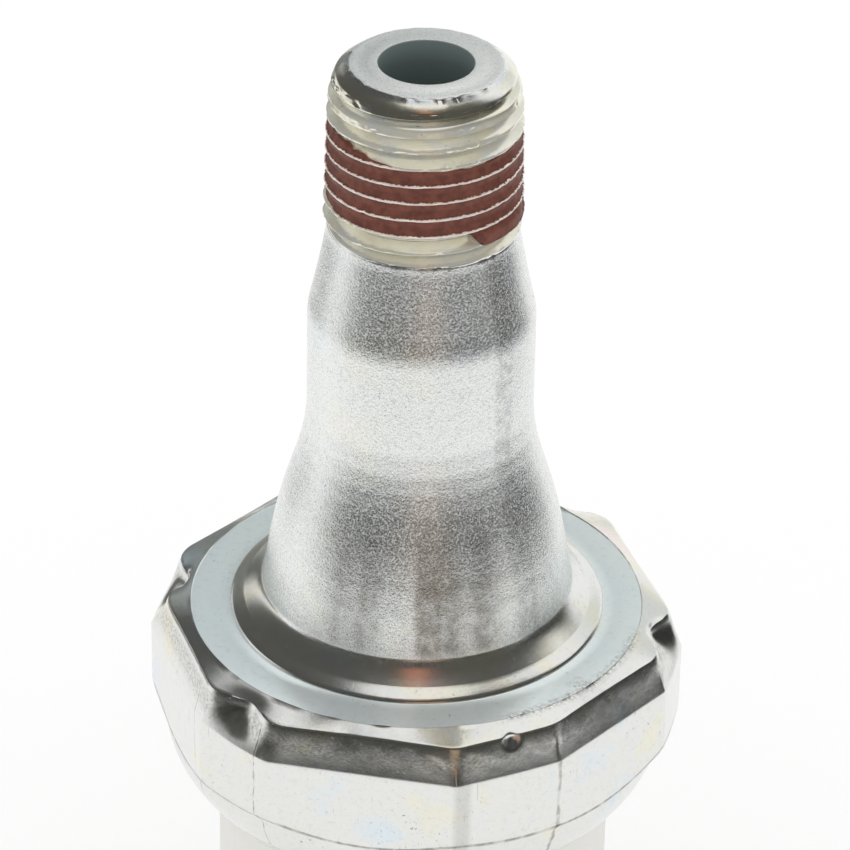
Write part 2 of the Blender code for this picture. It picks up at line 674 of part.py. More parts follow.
def make_lever(pivot, collection, cutters, material):
    """A flat bar with a barrel round the pin, bored for the screw and the leaf's rivets."""
    barrel_radius = PIN_RADIUS + TIGHT_GAP + LEVER_BARREL_WALL
    half_barrel = EAR_SPACING / 2 - SEAT_GAP
    lever = block("wiper_lever", (0, -LEVER_WIDTH / 2, -LEVER_THICKNESS / 2),
                  (LEVER_LENGTH, LEVER_WIDTH / 2, LEVER_THICKNESS / 2), collection, material)
    barrel = rod("lever_barrel", barrel_radius, -half_barrel, half_barrel, cutters)
    barrel.rotation_euler.x = math.radians(90)
    boolean(lever, barrel, "UNION")
    pin_hole = rod("lever_pin_hole", PIN_RADIUS + TIGHT_GAP, -EAR_SPACING, EAR_SPACING, cutters)
    pin_hole.rotation_euler.x = math.radians(90)
    boolean(lever, pin_hole)
    screw_hole = rod("lever_screw_hole", SCREW_RADIUS + TIGHT_GAP, -LEVER_THICKNESS, LEVER_THICKNESS,
                     cutters)
    screw_hole.location.x = PIVOT_OFFSET
    boolean(lever, screw_hole)
    holes = [barrel, pin_hole, screw_hole]
    for label, side in FRONT_AND_BACK:
        rivet_hole = rod("lever_rivet_hole_" + label, RIVET_RADIUS + TIGHT_GAP, -LEVER_THICKNESS,
                         LEVER_THICKNESS, cutters, steps=12)
        rivet_hole.location = (rivet_place(), side * RIVET_SPACING / 2, 0)
        boolean(lever, rivet_hole)
        holes.append(rivet_hole)
    hang([lever, *holes], pivot)
    return lever


def rivet_place():
    return LEVER_LENGTH - LEAF_OVERLAP / 2


def make_calibration_screw(pivot, collection, cutters, material):
    """A slotted grub screw with a round tip under the pusher."""
    profile = [(0, SCREW_RISE)]
    for step in range(1, 4):
        turn = math.radians(90) * step / 3
        profile.append((SCREW_RADIUS * math.sin(turn), SCREW_RISE - SCREW_RADIUS / 2 * (1 - math.cos(turn))))
    profile += [(SCREW_RADIUS, -SCREW_DROP), (0, -SCREW_DROP)]
    screw = turned("calibration_screw", profile, collection, material, FINE_STEPS, closed=False)
    slot = block("screw_slot", (-SCREW_SLOT / 2, -SCREW_RADIUS * 1.5, -SCREW_DROP - SCREW_SLOT),
                 (SCREW_SLOT / 2, SCREW_RADIUS * 1.5, -SCREW_DROP + SCREW_SLOT), cutters)
    boolean(screw, slot)
    screw.location.x = PIVOT_OFFSET
    slot.location.x = PIVOT_OFFSET
    hang([screw, slot], pivot)
    return screw


def leaf_level():
    return LEVER_THICKNESS / 2 + TIGHT_GAP + LEAF_THICKNESS / 2


def leaf_tab_place():
    return WIPER_REACH - CONTACT_HEIGHT - TIGHT_GAP - LEAF_THICKNESS / 2


def contact_level():
    return leaf_level() - LEAF_TAB_DROP / 2


def make_wiper_leaf(pivot, collection, cutters, material):
    """A springy strip on top of the lever whose turned-down end carries the contact."""
    level = leaf_level()
    tab = leaf_tab_place()
    path = [(LEVER_LENGTH - LEAF_OVERLAP, level), (tab, level), (tab, level - LEAF_TAB_DROP)]
    leaf = strip("wiper_leaf", path, LEAF_WIDTH, LEAF_THICKNESS, collection, material)
    tools = []
    for label, side in FRONT_AND_BACK:
        rivet_hole = rod("leaf_rivet_hole_" + label, RIVET_RADIUS + TIGHT_GAP, level - LEAF_THICKNESS,
                         level + LEAF_THICKNESS, cutters, steps=12)
        rivet_hole.location = (rivet_place(), side * RIVET_SPACING / 2, 0)
        boolean(leaf, rivet_hole)
        tools.append(rivet_hole)
    contact_hole = rod("leaf_contact_hole", CONTACT_RADIUS / 2 + TIGHT_GAP, -LEAF_THICKNESS,
                       LEAF_THICKNESS, cutters, steps=16)
    contact_hole.rotation_euler.y = math.radians(90)
    contact_hole.location = (tab, 0, contact_level())
    boolean(leaf, contact_hole)
    hang([leaf, contact_hole, *tools], pivot)
    return leaf


def make_leaf_rivet(label, side, pivot, collection, material):
    """A small rivet through the lever and the leaf."""
    bottom = -LEVER_THICKNESS / 2 - TIGHT_GAP
    top = leaf_level() + LEAF_THICKNESS / 2 + TIGHT_GAP
    profile = [(0, top + RIVET_HEAD_HEIGHT), (RIVET_HEAD_RADIUS * 0.6, top + RIVET_HEAD_HEIGHT),
               (RIVET_HEAD_RADIUS, top), (RIVET_RADIUS, top), (RIVET_RADIUS, bottom),
               (RIVET_HEAD_RADIUS, bottom), (RIVET_HEAD_RADIUS * 0.6, bottom - RIVET_HEAD_HEIGHT),
               (0, bottom - RIVET_HEAD_HEIGHT)]
    rivet = turned("leaf_rivet_" + label, profile, collection, material, 12, closed=False)
    rivet.location = (rivet_place(), side * RIVET_SPACING / 2, 0)
    rivet.parent = pivot
    return rivet


def make_wiper_contact(pivot, collection, material):
    """A contact rivet through the leaf's end, with its dome towards the winding."""
    front = LEAF_THICKNESS / 2 + TIGHT_GAP
    shank = CONTACT_RADIUS / 2
    profile = [(0, front + CONTACT_HEIGHT), (CONTACT_RADIUS * 0.5, front + CONTACT_HEIGHT * 0.9),
               (CONTACT_RADIUS * 0.9, front + CONTACT_HEIGHT * 0.5), (CONTACT_RADIUS, front),
               (shank, front), (shank, -front), (CONTACT_RADIUS * 0.8, -front),
               (CONTACT_RADIUS * 0.6, -front - CONTACT_HEIGHT / 2), (0, -front - CONTACT_HEIGHT / 2)]
    contact = turned("wiper_contact", profile, collection, material, 16, closed=False)
    contact.rotation_euler.y = math.radians(90)
    contact.location = (leaf_tab_place(), 0, contact_level())
    contact.parent = pivot
    return contact


def spring_centre():
    return PIVOT.x + SPRING_ARM


def lever_underside(arm):
    """Height of the lever's lower face at rest, at a distance from the pivot."""
    return PIVOT.z + arm * math.tan(REST_TILT) - LEVER_THICKNESS / 2 / math.cos(REST_TILT)


def make_return_spring(collection, material):
    """A compression spring between the cavity's floor and the lever."""
    bottom = WEB_TOP + SEAT_GAP + SPRING_WIRE_RADIUS
    reach = SPRING_RADIUS + SPRING_WIRE_RADIUS
    top = lever_underside(SPRING_ARM - reach) - SEAT_GAP - SPRING_WIRE_RADIUS
    curve = bpy.data.curves.new("return_spring", "CURVE")
    curve.dimensions = "3D"
    curve.bevel_depth = SPRING_WIRE_RADIUS
    curve.bevel_resolution = 2
    curve.use_fill_caps = True
    spline = curve.splines.new("POLY")
    count = SPRING_TURNS * COIL_POINTS
    spline.points.add(count)
    closed_share = 1 / SPRING_TURNS
    for i, point in enumerate(spline.points):
        share = i / count
        angle = 2 * math.pi * SPRING_TURNS * share
        climb = min(1.0, max(0.0, (share - closed_share / 2) / (1 - closed_share)))
        level = bottom + climb * (top - bottom)
        point.co = (SPRING_RADIUS * math.cos(angle), SPRING_RADIUS * math.sin(angle), level, 1)
    spring = bpy.data.objects.new("return_spring", curve)
    collection.objects.link(spring)
    curve.materials.append(material)
    spring.location.x = spring_centre()
    return spring


def make_resistor_card(collection, material):
    """The insulating card, standing in its holder and ending just under the bracket's plate."""
    return block("resistor_card",
                 (CARD_CENTRE - CARD_THICKNESS / 2, -CARD_WIDTH / 2, WEB_TOP + SEAT_GAP),
                 (CARD_CENTRE + CARD_THICKNESS / 2, CARD_WIDTH / 2, FLANGE_TOP), collection, material)


def make_resistance_winding(collection, material):
    """The wire wound round the card, as one sleeve with a ridge for each turn."""
    bm = bmesh.new()
    pitch = WINDING_LENGTH / WINDING_TURNS
    bottom = WEB_TOP + WINDING_BOTTOM

    def loop(outset, height):
        half_x = CARD_THICKNESS / 2 + outset
        half_y = CARD_WIDTH / 2 + outset
        corners = ((1, 1), (-1, 1), (-1, -1), (1, -1))
        return [bm.verts.new((CARD_CENTRE + sx * half_x, sy * half_y, height)) for sx, sy in corners]

    loops = []
    for turn in range(WINDING_TURNS):
        loops.append(loop(TIGHT_GAP + WIRE_RADIUS, bottom + turn * pitch))
        loops.append(loop(WINDING_WALL, bottom + (turn + 0.5) * pitch))
    top = bottom + WINDING_LENGTH
    loops.append(loop(TIGHT_GAP + WIRE_RADIUS, top))
    loops.append(loop(TIGHT_GAP, top))
    loops.append(loop(TIGHT_GAP, bottom))
    for lower, upper in zip(loops, loops[1:] + loops[:1]):
        for i in range(4):
            j = (i + 1) % 4
            bm.faces.new((lower[i], lower[j], upper[j], upper[i]))
    return add_object("resistance_winding", mesh_from(bm, "resistance_winding"), collection, material)


def make_signal_strip(collection, material):
    """A strip from the blade's top that presses on the winding's lowest turns."""
    riser = WINDING_FACE - TIGHT_GAP - STRIP_THICKNESS / 2
    top = WEB_TOP + WINDING_BOTTOM + STRIP_RISE
    path = [(BLADE_OFFSET - STRIP_FOOT / 2, STRIP_LEVEL), (riser, STRIP_LEVEL), (riser, top)]
    return strip("signal_strip", path, STRIP_WIDTH, STRIP_THICKNESS, collection, material)


def make_ground_spring(collection, material):
    """A bowed strip between the return blade's top and the bracket's plate."""
    top = PLATE_BOTTOM - SEAT_GAP - STRIP_THICKNESS / 2
    outer = -BLADE_OFFSET - STRIP_FOOT * 1.8
    path = [(-BLADE_OFFSET + STRIP_FOOT / 2, STRIP_LEVEL), (outer + STRIP_FOOT / 2, STRIP_LEVEL)]
    steps = 6
    for step in range(1, steps):
        share = step / steps
        path.append((outer + STRIP_FOOT / 2 - STRIP_FOOT / 2 * math.sin(math.pi * share),
                     STRIP_LEVEL + share * (top - STRIP_LEVEL)))
    path += [(outer + STRIP_FOOT / 2, top), (-BLADE_OFFSET - STRIP_FOOT / 2, top)]
    return strip("ground_spring", path, STRIP_WIDTH, STRIP_THICKNESS, collection, material)


def make_blade(label, side, collection, material):
    """A flat contact blade through the web, with a chamfered tip in the socket."""
    half = BLADE_THICKNESS / 2
    tip = half - BLADE_TIP_CHAMFER
    slope = BLADE_TIP_CHAMFER * 3
    outline = [(-half, BLADE_TOP), (-half, BLADE_SETBACK + slope), (-tip, BLADE_SETBACK),
               (tip, BLADE_SETBACK), (half, BLADE_SETBACK + slope), (half, BLADE_TOP)]
    blade = plate(label + "_blade", outline, BLADE_WIDTH, collection, material)
    blade.rotation_euler.x = math.radians(90)
    blade.location.x = side * BLADE_OFFSET
    return blade


def seal_recess_size():
    grow = 2 * (2 * TIGHT_GAP + BLADE_SEAL_WALL)
    return BLADE_THICKNESS + grow, BLADE_WIDTH + grow


def make_blade_seal(label, side, collection, cutters, material):
    """A potted seal round a blade, flush with the cavity's floor."""
    recess_x, recess_y = seal_recess_size()
    half_x = recess_x / 2 - TIGHT_GAP
    half_y = recess_y / 2 - TIGHT_GAP
    bottom = WEB_TOP - BLADE_SEAL_DEPTH
    seal = block("blade_seal_" + label, (-half_x, -half_y, bottom), (half_x, half_y, WEB_TOP),
                 collection, material)
    slot = block("blade_seal_slot_" + label,
                 (-BLADE_THICKNESS / 2 - TIGHT_GAP, -BLADE_WIDTH / 2 - TIGHT_GAP, bottom - SEAT_GAP),
                 (BLADE_THICKNESS / 2 + TIGHT_GAP, BLADE_WIDTH / 2 + TIGHT_GAP, WEB_TOP + SEAT_GAP),
                 cutters)
    boolean(seal, slot)
    for piece in (seal, slot):
        piece.location.x = side * BLADE_OFFSET
    return seal


def make_weather_seal(collection, material):
    """A square-section ring in the groove of the body's flange."""
    middle = (FLANGE_TOP + FLANGE_BOTTOM) / 2
    profile = ring_profile(CLAMPED_RADIUS - SEAL_SECTION, CLAMPED_RADIUS, middle - SEAL_SECTION / 2,
                           middle + SEAL_SECTION / 2)
    return turned("weather_seal", profile, collection, material)


def make_connector_body(collection, cutters, material):
    """The plastic body: a flanged cup for the mechanism above an oval socket."""
    seal_half = SEAL_SECTION / 2 + SEAT_GAP
    flange_middle = (FLANGE_TOP + FLANGE_BOTTOM) / 2
    groove_radius = CLAMPED_RADIUS - SEAL_SECTION - SEAT_GAP
    dome_bottom = SOCKET_DEPTH
    profile = [(0, FLANGE_TOP), (CLAMPED_RADIUS, FLANGE_TOP),
               (CLAMPED_RADIUS, flange_middle + seal_half), (groove_radius, flange_middle + seal_half),
               (groove_radius, flange_middle - seal_half), (CLAMPED_RADIUS, flange_middle - seal_half),
               (CLAMPED_RADIUS, FLANGE_BOTTOM), (DOME_RADIUS, FLANGE_BOTTOM)]
    rounding_steps = 4
    for step in range(rounding_steps + 1):
        turn = math.radians(90) * step / rounding_steps
        profile.append((DOME_RADIUS - BODY_EDGE_ROUNDING * (1 - math.cos(turn)),
                        dome_bottom + BODY_EDGE_ROUNDING * (1 - math.sin(turn))))
    profile.append((0, dome_bottom))
    body = turned("connector_body", profile, collection, material, closed=False)

    shroud = oval_prism("shroud", SHROUD_LENGTH, SHROUD_WIDTH, SHROUD_END_ROUNDING, 0,
                        SOCKET_DEPTH + WEB_THICKNESS / 2, cutters)
    boolean(body, shroud, "UNION")
    latch_bottom = LATCH_SETBACK
    latch_outline = [(SHROUD_WIDTH / 2 - SHROUD_WALL / 2, latch_bottom),
                     (SHROUD_WIDTH / 2, latch_bottom),
                     (SHROUD_WIDTH / 2 + LATCH_DEPTH, latch_bottom + LATCH_HEIGHT * 0.7),
                     (SHROUD_WIDTH / 2 + LATCH_DEPTH, latch_bottom + LATCH_HEIGHT),
                     (SHROUD_WIDTH / 2 - SHROUD_WALL / 2, latch_bottom + LATCH_HEIGHT)]
    latch = plate("latch_ramp", latch_outline, LATCH_WIDTH, cutters)
    latch.rotation_euler = (math.radians(90), 0, math.radians(90))
    boolean(body, latch, "UNION")

    cavity = turned("mechanism_cavity", rod_profile(CAVITY_RADIUS, WEB_TOP, FLANGE_TOP + SEAT_GAP),
                    cutters, closed=False)
    boolean(body, cavity)
    pocket_length = SHROUD_LENGTH - 2 * SHROUD_WALL
    pocket_width = SHROUD_WIDTH - 2 * SHROUD_WALL
    pocket = oval_prism("socket_pocket", pocket_length, pocket_width,
                        SHROUD_END_ROUNDING - SHROUD_WALL, -SEAT_GAP, SOCKET_DEPTH, cutters)
    boolean(body, pocket)

    for label, side in (("left", -1), ("right", 1)):
        rib_x = side * KEY_RIB_SPACING / 2
        rib_y = -pocket_width / 2
        rib = block("key_rib_" + label, (rib_x - KEY_RIB_WIDTH / 2, rib_y - SHROUD_WALL / 2, SEAT_GAP),
                    (rib_x + KEY_RIB_WIDTH / 2, rib_y + KEY_RIB_DEPTH, SOCKET_DEPTH + WEB_THICKNESS / 2),
                    cutters)
        boolean(body, rib, "UNION")

    spigot = rod("spring_spigot", SPRING_RADIUS - SPRING_WIRE_RADIUS - TIGHT_GAP,
                 WEB_TOP - WEB_THICKNESS / 2, WEB_TOP + SPIGOT_HEIGHT, cutters, steps=16)
    spigot.location.x = spring_centre()
    boolean(body, spigot, "UNION")

    slot_half_x = CARD_THICKNESS / 2 + TIGHT_GAP
    slot_half_y = CARD_WIDTH / 2 + TIGHT_GAP
    holder_half_y = slot_half_y + CARD_SOCKET_WALL
    holder_top = WEB_TOP + CARD_SOCKET_HEIGHT
    holder_back = math.sqrt(CAVITY_RADIUS ** 2 - holder_half_y ** 2) + BODY_WALL / 4
    holder = block("card_holder",
                   (CARD_CENTRE - slot_half_x - CARD_SOCKET_WALL, -holder_half_y,
                    WEB_TOP - WEB_THICKNESS / 2),
                   (holder_back, holder_half_y, holder_top), cutters)
    boolean(body, holder, "UNION")
    card_slot = block("card_slot", (CARD_CENTRE - slot_half_x, -slot_half_y, WEB_TOP),
                      (CARD_CENTRE + slot_half_x, slot_half_y, holder_top + SEAT_GAP), cutters)
    boolean(body, card_slot)

    recess_x, recess_y = seal_recess_size()
    for label, side in BLADES:
        blade_x = side * BLADE_OFFSET
        recess = block("seal_recess_" + label,
                       (blade_x - recess_x / 2, -recess_y / 2, WEB_TOP - BLADE_SEAL_DEPTH - SEAT_GAP),
                       (blade_x + recess_x / 2, recess_y / 2, WEB_TOP + SEAT_GAP), cutters)
        boolean(body, recess)
        blade_slot = block("blade_slot_" + label,
                           (blade_x - BLADE_THICKNESS / 2 - TIGHT_GAP, -BLADE_WIDTH / 2 - TIGHT_GAP,
                            SOCKET_DEPTH - SEAT_GAP),
                           (blade_x + BLADE_THICKNESS / 2 + TIGHT_GAP, BLADE_WIDTH / 2 + TIGHT_GAP,
                            WEB_TOP), cutters)
        boolean(body, blade_slot)
    return body


def main():
    clear_scene()
    parts = make_collection("oil_pressure_sender")
    cutters = make_collection("cutters")
    cutters.hide_render = True

    plated = make_material("zinc_plated_steel", (0.62, 0.62, 0.58), 0.28, 1.0)
    brass = make_material("brass", (0.78, 0.57, 0.26), 0.3, 1.0)
    rubber = make_material("black_rubber", (0.03, 0.03, 0.03), 0.8)
    foil = make_material("diaphragm_steel", (0.66, 0.66, 0.68), 0.2, 1.0)
    ring_steel = make_material("clamp_ring_steel", (0.5, 0.51, 0.53), 0.35, 1.0)
    button = make_material("pusher_plastic", (0.75, 0.72, 0.62), 0.5)
    stamped = make_material("bracket_steel", (0.56, 0.57, 0.58), 0.35, 1.0)
    pin_steel = make_material("pin_steel", (0.45, 0.46, 0.48), 0.25, 1.0)
    lever_steel = make_material("lever_steel", (0.6, 0.6, 0.57), 0.3, 1.0)
    screw_steel = make_material("screw_steel", (0.35, 0.34, 0.32), 0.4, 1.0)
    bronze = make_material("leaf_bronze", (0.72, 0.5, 0.3), 0.3, 1.0)
    rivet_metal = make_material("rivet_brass", (0.76, 0.6, 0.33), 0.35, 1.0)
    silver = make_material("contact_silver", (0.85, 0.84, 0.8), 0.2, 1.0)
    spring_steel = make_material("spring_steel", (0.4, 0.41, 0.43), 0.3, 1.0)
    laminate = make_material("card_laminate", (0.46, 0.3, 0.14), 0.6)
    wire = make_material("resistance_wire", (0.5, 0.46, 0.42), 0.35, 1.0)
    strip_bronze = make_material("strip_bronze", (0.74, 0.53, 0.3), 0.3, 1.0)
    tinned = make_material("tinned_blade", (0.74, 0.74, 0.73), 0.3, 1.0)
    ground_bronze = make_material("ground_spring_bronze", (0.7, 0.5, 0.3), 0.3, 1.0)
    potting = make_material("potting", (0.08, 0.06, 0.05), 0.45)
    seal_rubber = make_material("seal_rubber", (0.05, 0.04, 0.04), 0.75)
    plastic = make_material("natural_nylon", (0.80, 0.79, 0.75), 0.45)

    make_housing(parts, plated)
    make_snubber(parts, brass)
    make_gasket(parts, rubber)
    make_diaphragm(parts, foil)
    make_clamp_ring(parts, ring_steel)
    make_pusher(parts, button)
    make_bracket(parts, cutters, stamped)
    make_pivot_pin(parts, pin_steel)

    lever_pivot = bpy.data.objects.new("lever_pivot", None)
    lever_pivot.empty_display_size = PIVOT_OFFSET
    parts.objects.link(lever_pivot)
    lever_pivot.location = PIVOT
    lever_pivot.rotation_euler.y = -REST_TILT
    make_lever(lever_pivot, parts, cutters, lever_steel)
    make_calibration_screw(lever_pivot, parts, cutters, screw_steel)
    make_wiper_leaf(lever_pivot, parts, cutters, bronze)
    for label, side in FRONT_AND_BACK:
        make_leaf_rivet(label, side, lever_pivot, parts, rivet_metal)
    make_wiper_contact(lever_pivot, parts, silver)

    make_return_spring(parts, spring_steel)
    make_resistor_card(parts, laminate)
    make_resistance_winding(parts, wire)
    make_signal_strip(parts, strip_bronze)
    make_ground_spring(parts, ground_bronze)
    for label, side in BLADES:
        make_blade(label, side, parts, tinned)
        make_blade_seal(label, side, parts, cutters, potting)
    make_weather_seal(parts, seal_rubber)
    make_connector_body(parts, cutters, plastic)


main()
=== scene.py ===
# %% [markdown]
# # Oil pressure sender
#
# The part is a formed and zinc-plated steel housing with a tapered pipe thread at its upper end.
# A pale plastic connector body closes it from below, and the diaphragm, lever and resistor are
# inside. Their solids come ready-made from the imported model. This script gives each of them its
# finish, and it replaces the pieces that show most with finer meshes.

# %% Load the frame
import math

import bmesh
import bpy
import numpy as np
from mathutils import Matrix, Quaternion, Vector, noise


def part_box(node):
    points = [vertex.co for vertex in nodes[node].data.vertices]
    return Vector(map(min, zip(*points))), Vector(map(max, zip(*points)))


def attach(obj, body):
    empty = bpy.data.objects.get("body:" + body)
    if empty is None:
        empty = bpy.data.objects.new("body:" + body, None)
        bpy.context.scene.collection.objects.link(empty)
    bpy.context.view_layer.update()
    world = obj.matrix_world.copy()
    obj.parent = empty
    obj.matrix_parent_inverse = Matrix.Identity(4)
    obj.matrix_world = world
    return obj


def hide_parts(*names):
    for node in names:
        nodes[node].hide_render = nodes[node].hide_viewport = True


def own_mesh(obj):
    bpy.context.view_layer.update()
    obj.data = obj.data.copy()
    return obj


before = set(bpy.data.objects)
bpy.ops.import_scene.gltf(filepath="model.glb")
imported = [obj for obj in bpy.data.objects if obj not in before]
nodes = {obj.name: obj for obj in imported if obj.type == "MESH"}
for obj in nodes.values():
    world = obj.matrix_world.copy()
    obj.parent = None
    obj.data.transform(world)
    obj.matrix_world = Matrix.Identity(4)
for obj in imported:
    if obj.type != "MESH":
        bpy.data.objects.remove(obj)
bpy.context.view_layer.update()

# %% [markdown]
# The sender is small, so lengths are written in millimetres and multiplied by MM. Places round the
# axis are given in degrees as the camera sees them: 0 faces it and +90 is on its right. VIEW_ANGLE
# is where that zero lies in the part's own frame, measured from +X.

# %% Units and directions
MM = 0.001
TAU = 2 * math.pi
VIEW_ANGLE = math.radians(-79)


def around(viewer_degrees):
    """The angle about Z, from +X, of a place that the camera sees at viewer_degrees."""
    return VIEW_ANGLE + math.radians(viewer_degrees)


def away_from(angle, viewer_degrees):
    """How far an angle lies from a place round the axis, from -180 to 180 degrees."""
    return math.degrees((angle - around(viewer_degrees) + math.pi) % TAU - math.pi)


def polar(radius, angle, height):
    return radius * math.cos(angle), radius * math.sin(angle), height


def smooth_step(low, high, value):
    share = min(1.0, max(0.0, (value - low) / (high - low)))
    return share * share * (3 - 2 * share)


def bell(distance, width):
    """1 at no distance, falling off smoothly over a width on both sides."""
    return math.exp(-(distance / width) ** 2)


thread_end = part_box("housing")[1].z
print(f"the thread ends at {thread_end / MM:.1f} mm")

# %% [markdown]
# The camera looks down the thread from 27 to 34 degrees above, and from so near that the circles of
# the neck open towards the bottom. A long lens at a short distance gives that view. The small roll
# is the lean of the part's axis in the picture.

# %% Camera
CAMERA_DISTANCE = 206.9 * MM
CAMERA_SIDE_STEP = 0.275 * MM
CAMERA_RISE = 106.0 * MM
CAMERA_PITCH = math.radians(31.584)
CAMERA_ROLL = math.radians(1.074)
CAMERA_LENS = 197.2
SENSOR_WIDTH = 36.0


def make_camera():
    camera_data = bpy.data.cameras.new("camera")
    camera_data.lens = CAMERA_LENS
    camera_data.sensor_width = SENSOR_WIDTH
    camera_data.clip_start = MM
    made = bpy.data.objects.new("camera", camera_data)
    bpy.context.scene.collection.objects.link(made)
    towards = Vector(polar(1, VIEW_ANGLE, 0))
    aside = Vector((-towards.y, towards.x, 0))
    made.location = towards * CAMERA_DISTANCE + aside * CAMERA_SIDE_STEP
    made.location.z = thread_end + CAMERA_RISE
    yaw = Quaternion((0, 0, 1), VIEW_ANGLE + math.radians(90))
    pitch = Quaternion((1, 0, 0), math.radians(90) - CAMERA_PITCH)
    roll = Quaternion((0, 0, 1), CAMERA_ROLL)
    made.rotation_mode = "QUATERNION"
    made.rotation_quaternion = yaw @ pitch @ roll
    bpy.context.scene.camera = made
    return made


camera = make_camera()
print("the camera is at", [round(c / MM, 1) for c in camera.location], "mm")

# %% [markdown]
# Every material below is made of nodes. They could be placed and linked one by one, but a formula
# would then be spread over twenty lines. Here a Wire holds the output socket of one node, and
# arithmetic on wires adds Math nodes, so that a formula reads as it would on paper. The method node()
# adds any other kind: its settings are set first, and then the values or wires of its sockets.

# %% Shader arithmetic
class Wire:
    """The output socket of a shader node."""

    def __init__(self, tree, socket=None):
        self.tree = tree
        self.socket = socket

    def node(self, kind, settings=None, inputs=None, output=0):
        made = self.tree.nodes.new(kind)
        for name, value in (settings or {}).items():
            if name == "stops":
                ramp = made.color_ramp
                while len(ramp.elements) < len(value):
                    ramp.elements.new(1.0)
                for element, (position, colour) in zip(ramp.elements, value):
                    element.position = position
                    element.color = (*colour, 1.0)
            else:
                setattr(made, name, value)
        for name, value in (inputs or {}).items():
            if isinstance(value, Wire):
                self.tree.links.new(value.socket, made.inputs[name])
            else:
                made.inputs[name].default_value = value
        return Wire(self.tree, made.outputs[output])

    def maths(self, operation, *values):
        return self.node("ShaderNodeMath", {"operation": operation}, dict(enumerate(values)))

    def __add__(self, other):
        return self.maths("ADD", self, other)

    def __sub__(self, other):
        return self.maths("SUBTRACT", self, other)

    def __rsub__(self, other):
        return self.maths("SUBTRACT", other, self)

    def __mul__(self, other):
        return self.maths("MULTIPLY", self, other)

    def __truediv__(self, other):
        return self.maths("DIVIDE", self, other)

    __radd__ = __add__
    __rmul__ = __mul__

    def between(self, low, high):
        """0 where the value is below low and 1 above high, with a smooth rise between them."""
        return self.node("ShaderNodeMapRange", {"interpolation_type": "SMOOTHSTEP"},
                         {"Value": self, "From Min": low, "From Max": high}, "Result")


def mixed(share, first, second):
    """A colour that goes from the first to the second as share goes from 0 to 1."""
    colours = {6: first, 7: second}
    inputs = {0: share}
    for index, colour in colours.items():
        inputs[index] = colour if isinstance(colour, Wire) else (*colour, 1.0)
    return share.node("ShaderNodeMix", {"data_type": "RGBA"}, inputs, 2)


def speckle(place, grain, detail=2.0, roughness=0.5, stretch=None):
    """Noise from 0 to 1 whose spots are about grain metres across, stretched by a vector."""
    if stretch is not None:
        place = place.node("ShaderNodeVectorMath", {"operation": "MULTIPLY"}, {0: place, 1: stretch})
    return place.node("ShaderNodeTexNoise", {}, {"Vector": place, "Scale": 1 / grain, "Detail": detail,
                                                 "Roughness": roughness}, "Fac")


def speckle_along(value, scale, detail, roughness):
    """Noise from 0 to 1 that changes along one value only, for rings and runs."""
    return value.node("ShaderNodeTexNoise", {"noise_dimensions": "1D"},
                      {"W": value, "Scale": scale, "Detail": detail, "Roughness": roughness}, "Fac")


def new_material(name):
    """A material, its Principled shader and the wire of its object coordinates."""
    material = bpy.data.materials.new(name)
    material.use_nodes = True
    tree = material.node_tree
    place = Wire(tree).node("ShaderNodeTexCoord", output="Object")
    return material, tree.nodes["Principled BSDF"], place


def plug(shader, **wires):
    """Link wires to a shader's sockets, whose names are written with underscores here."""
    for name, wire in wires.items():
        wire.tree.links.new(wire.socket, shader.inputs[name.replace("_", " ").title()])


def bumped(height, depth):
    """A normal from a height between 0 and 1 that stands for depth metres."""
    return height.node("ShaderNodeBump", {}, {"Height": height, "Distance": depth, "Strength": 1.0}, "Normal")


def axes(place):
    """The three coordinates of a place, each as a wire."""
    split = place.node("ShaderNodeSeparateXYZ", {}, {"Vector": place}).socket.node
    return [Wire(place.tree, split.outputs[index]) for index in range(3)]


print("shader helpers are ready")

# %% [markdown]
# Shiny plating shows its surroundings more than its own colour. Lamps could light it, but each would
# show as a spot in the metal. So the room is plain white on all sides, as in a light tent. The floor
# is white too, and gets the little that it lacks where the camera or a reflection sees it, so the
# part's shadow stays.

# %% Room and floor
FLOOR_COLOUR = (0.93, 0.93, 0.93)
FLOOR_TOP_UP = 0.08
FLOOR_SIZE = 4.0


def matt_material(name, colour):
    material, shader, place = new_material(name)
    shader.inputs["Base Color"].default_value = (*colour, 1.0)
    shader.inputs["Roughness"].default_value = 1.0
    shader.inputs["Specular IOR Level"].default_value = 0.0
    return material, shader, place


def new_object(name, bm):
    """An object with the faces of a bmesh, which is used up."""
    mesh = bpy.data.meshes.new(name)
    bm.to_mesh(mesh)
    bm.free()
    made = bpy.data.objects.new(name, mesh)
    bpy.context.scene.collection.objects.link(made)
    return made


def make_room():
    world = bpy.data.worlds.new("light_tent")
    world.use_nodes = True
    background = world.node_tree.nodes["Background"]
    background.inputs["Color"].default_value = (1, 1, 1, 1)
    background.inputs["Strength"].default_value = 1.0
    world.cycles.sampling_method = "NONE"
    bpy.context.scene.world = world


def make_floor():
    bm = bmesh.new()
    bmesh.ops.create_grid(bm, x_segments=1, y_segments=1, size=FLOOR_SIZE / 2)
    floor = new_object("floor", bm)
    material, shader, place = matt_material("pale_floor", FLOOR_COLOUR)
    rays = place.node("ShaderNodeLightPath", output="Is Camera Ray")
    glossy = Wire(rays.tree, rays.socket.node.outputs["Is Glossy Ray"])
    through = Wire(rays.tree, rays.socket.node.outputs["Is Transmission Ray"])
    seen = (rays + glossy + through) * FLOOR_TOP_UP
    emission = seen.node("ShaderNodeEmission", {}, {"Strength": seen})
    principled = Wire(seen.tree, shader.outputs[0])
    total = seen.node("ShaderNodeAddShader", {}, {0: principled, 1: emission})
    seen.tree.links.new(total.socket, seen.tree.nodes["Material Output"].inputs["Surface"])
    material.cycles.emission_sampling = "NONE"
    floor.data.materials.append(material)
    return floor


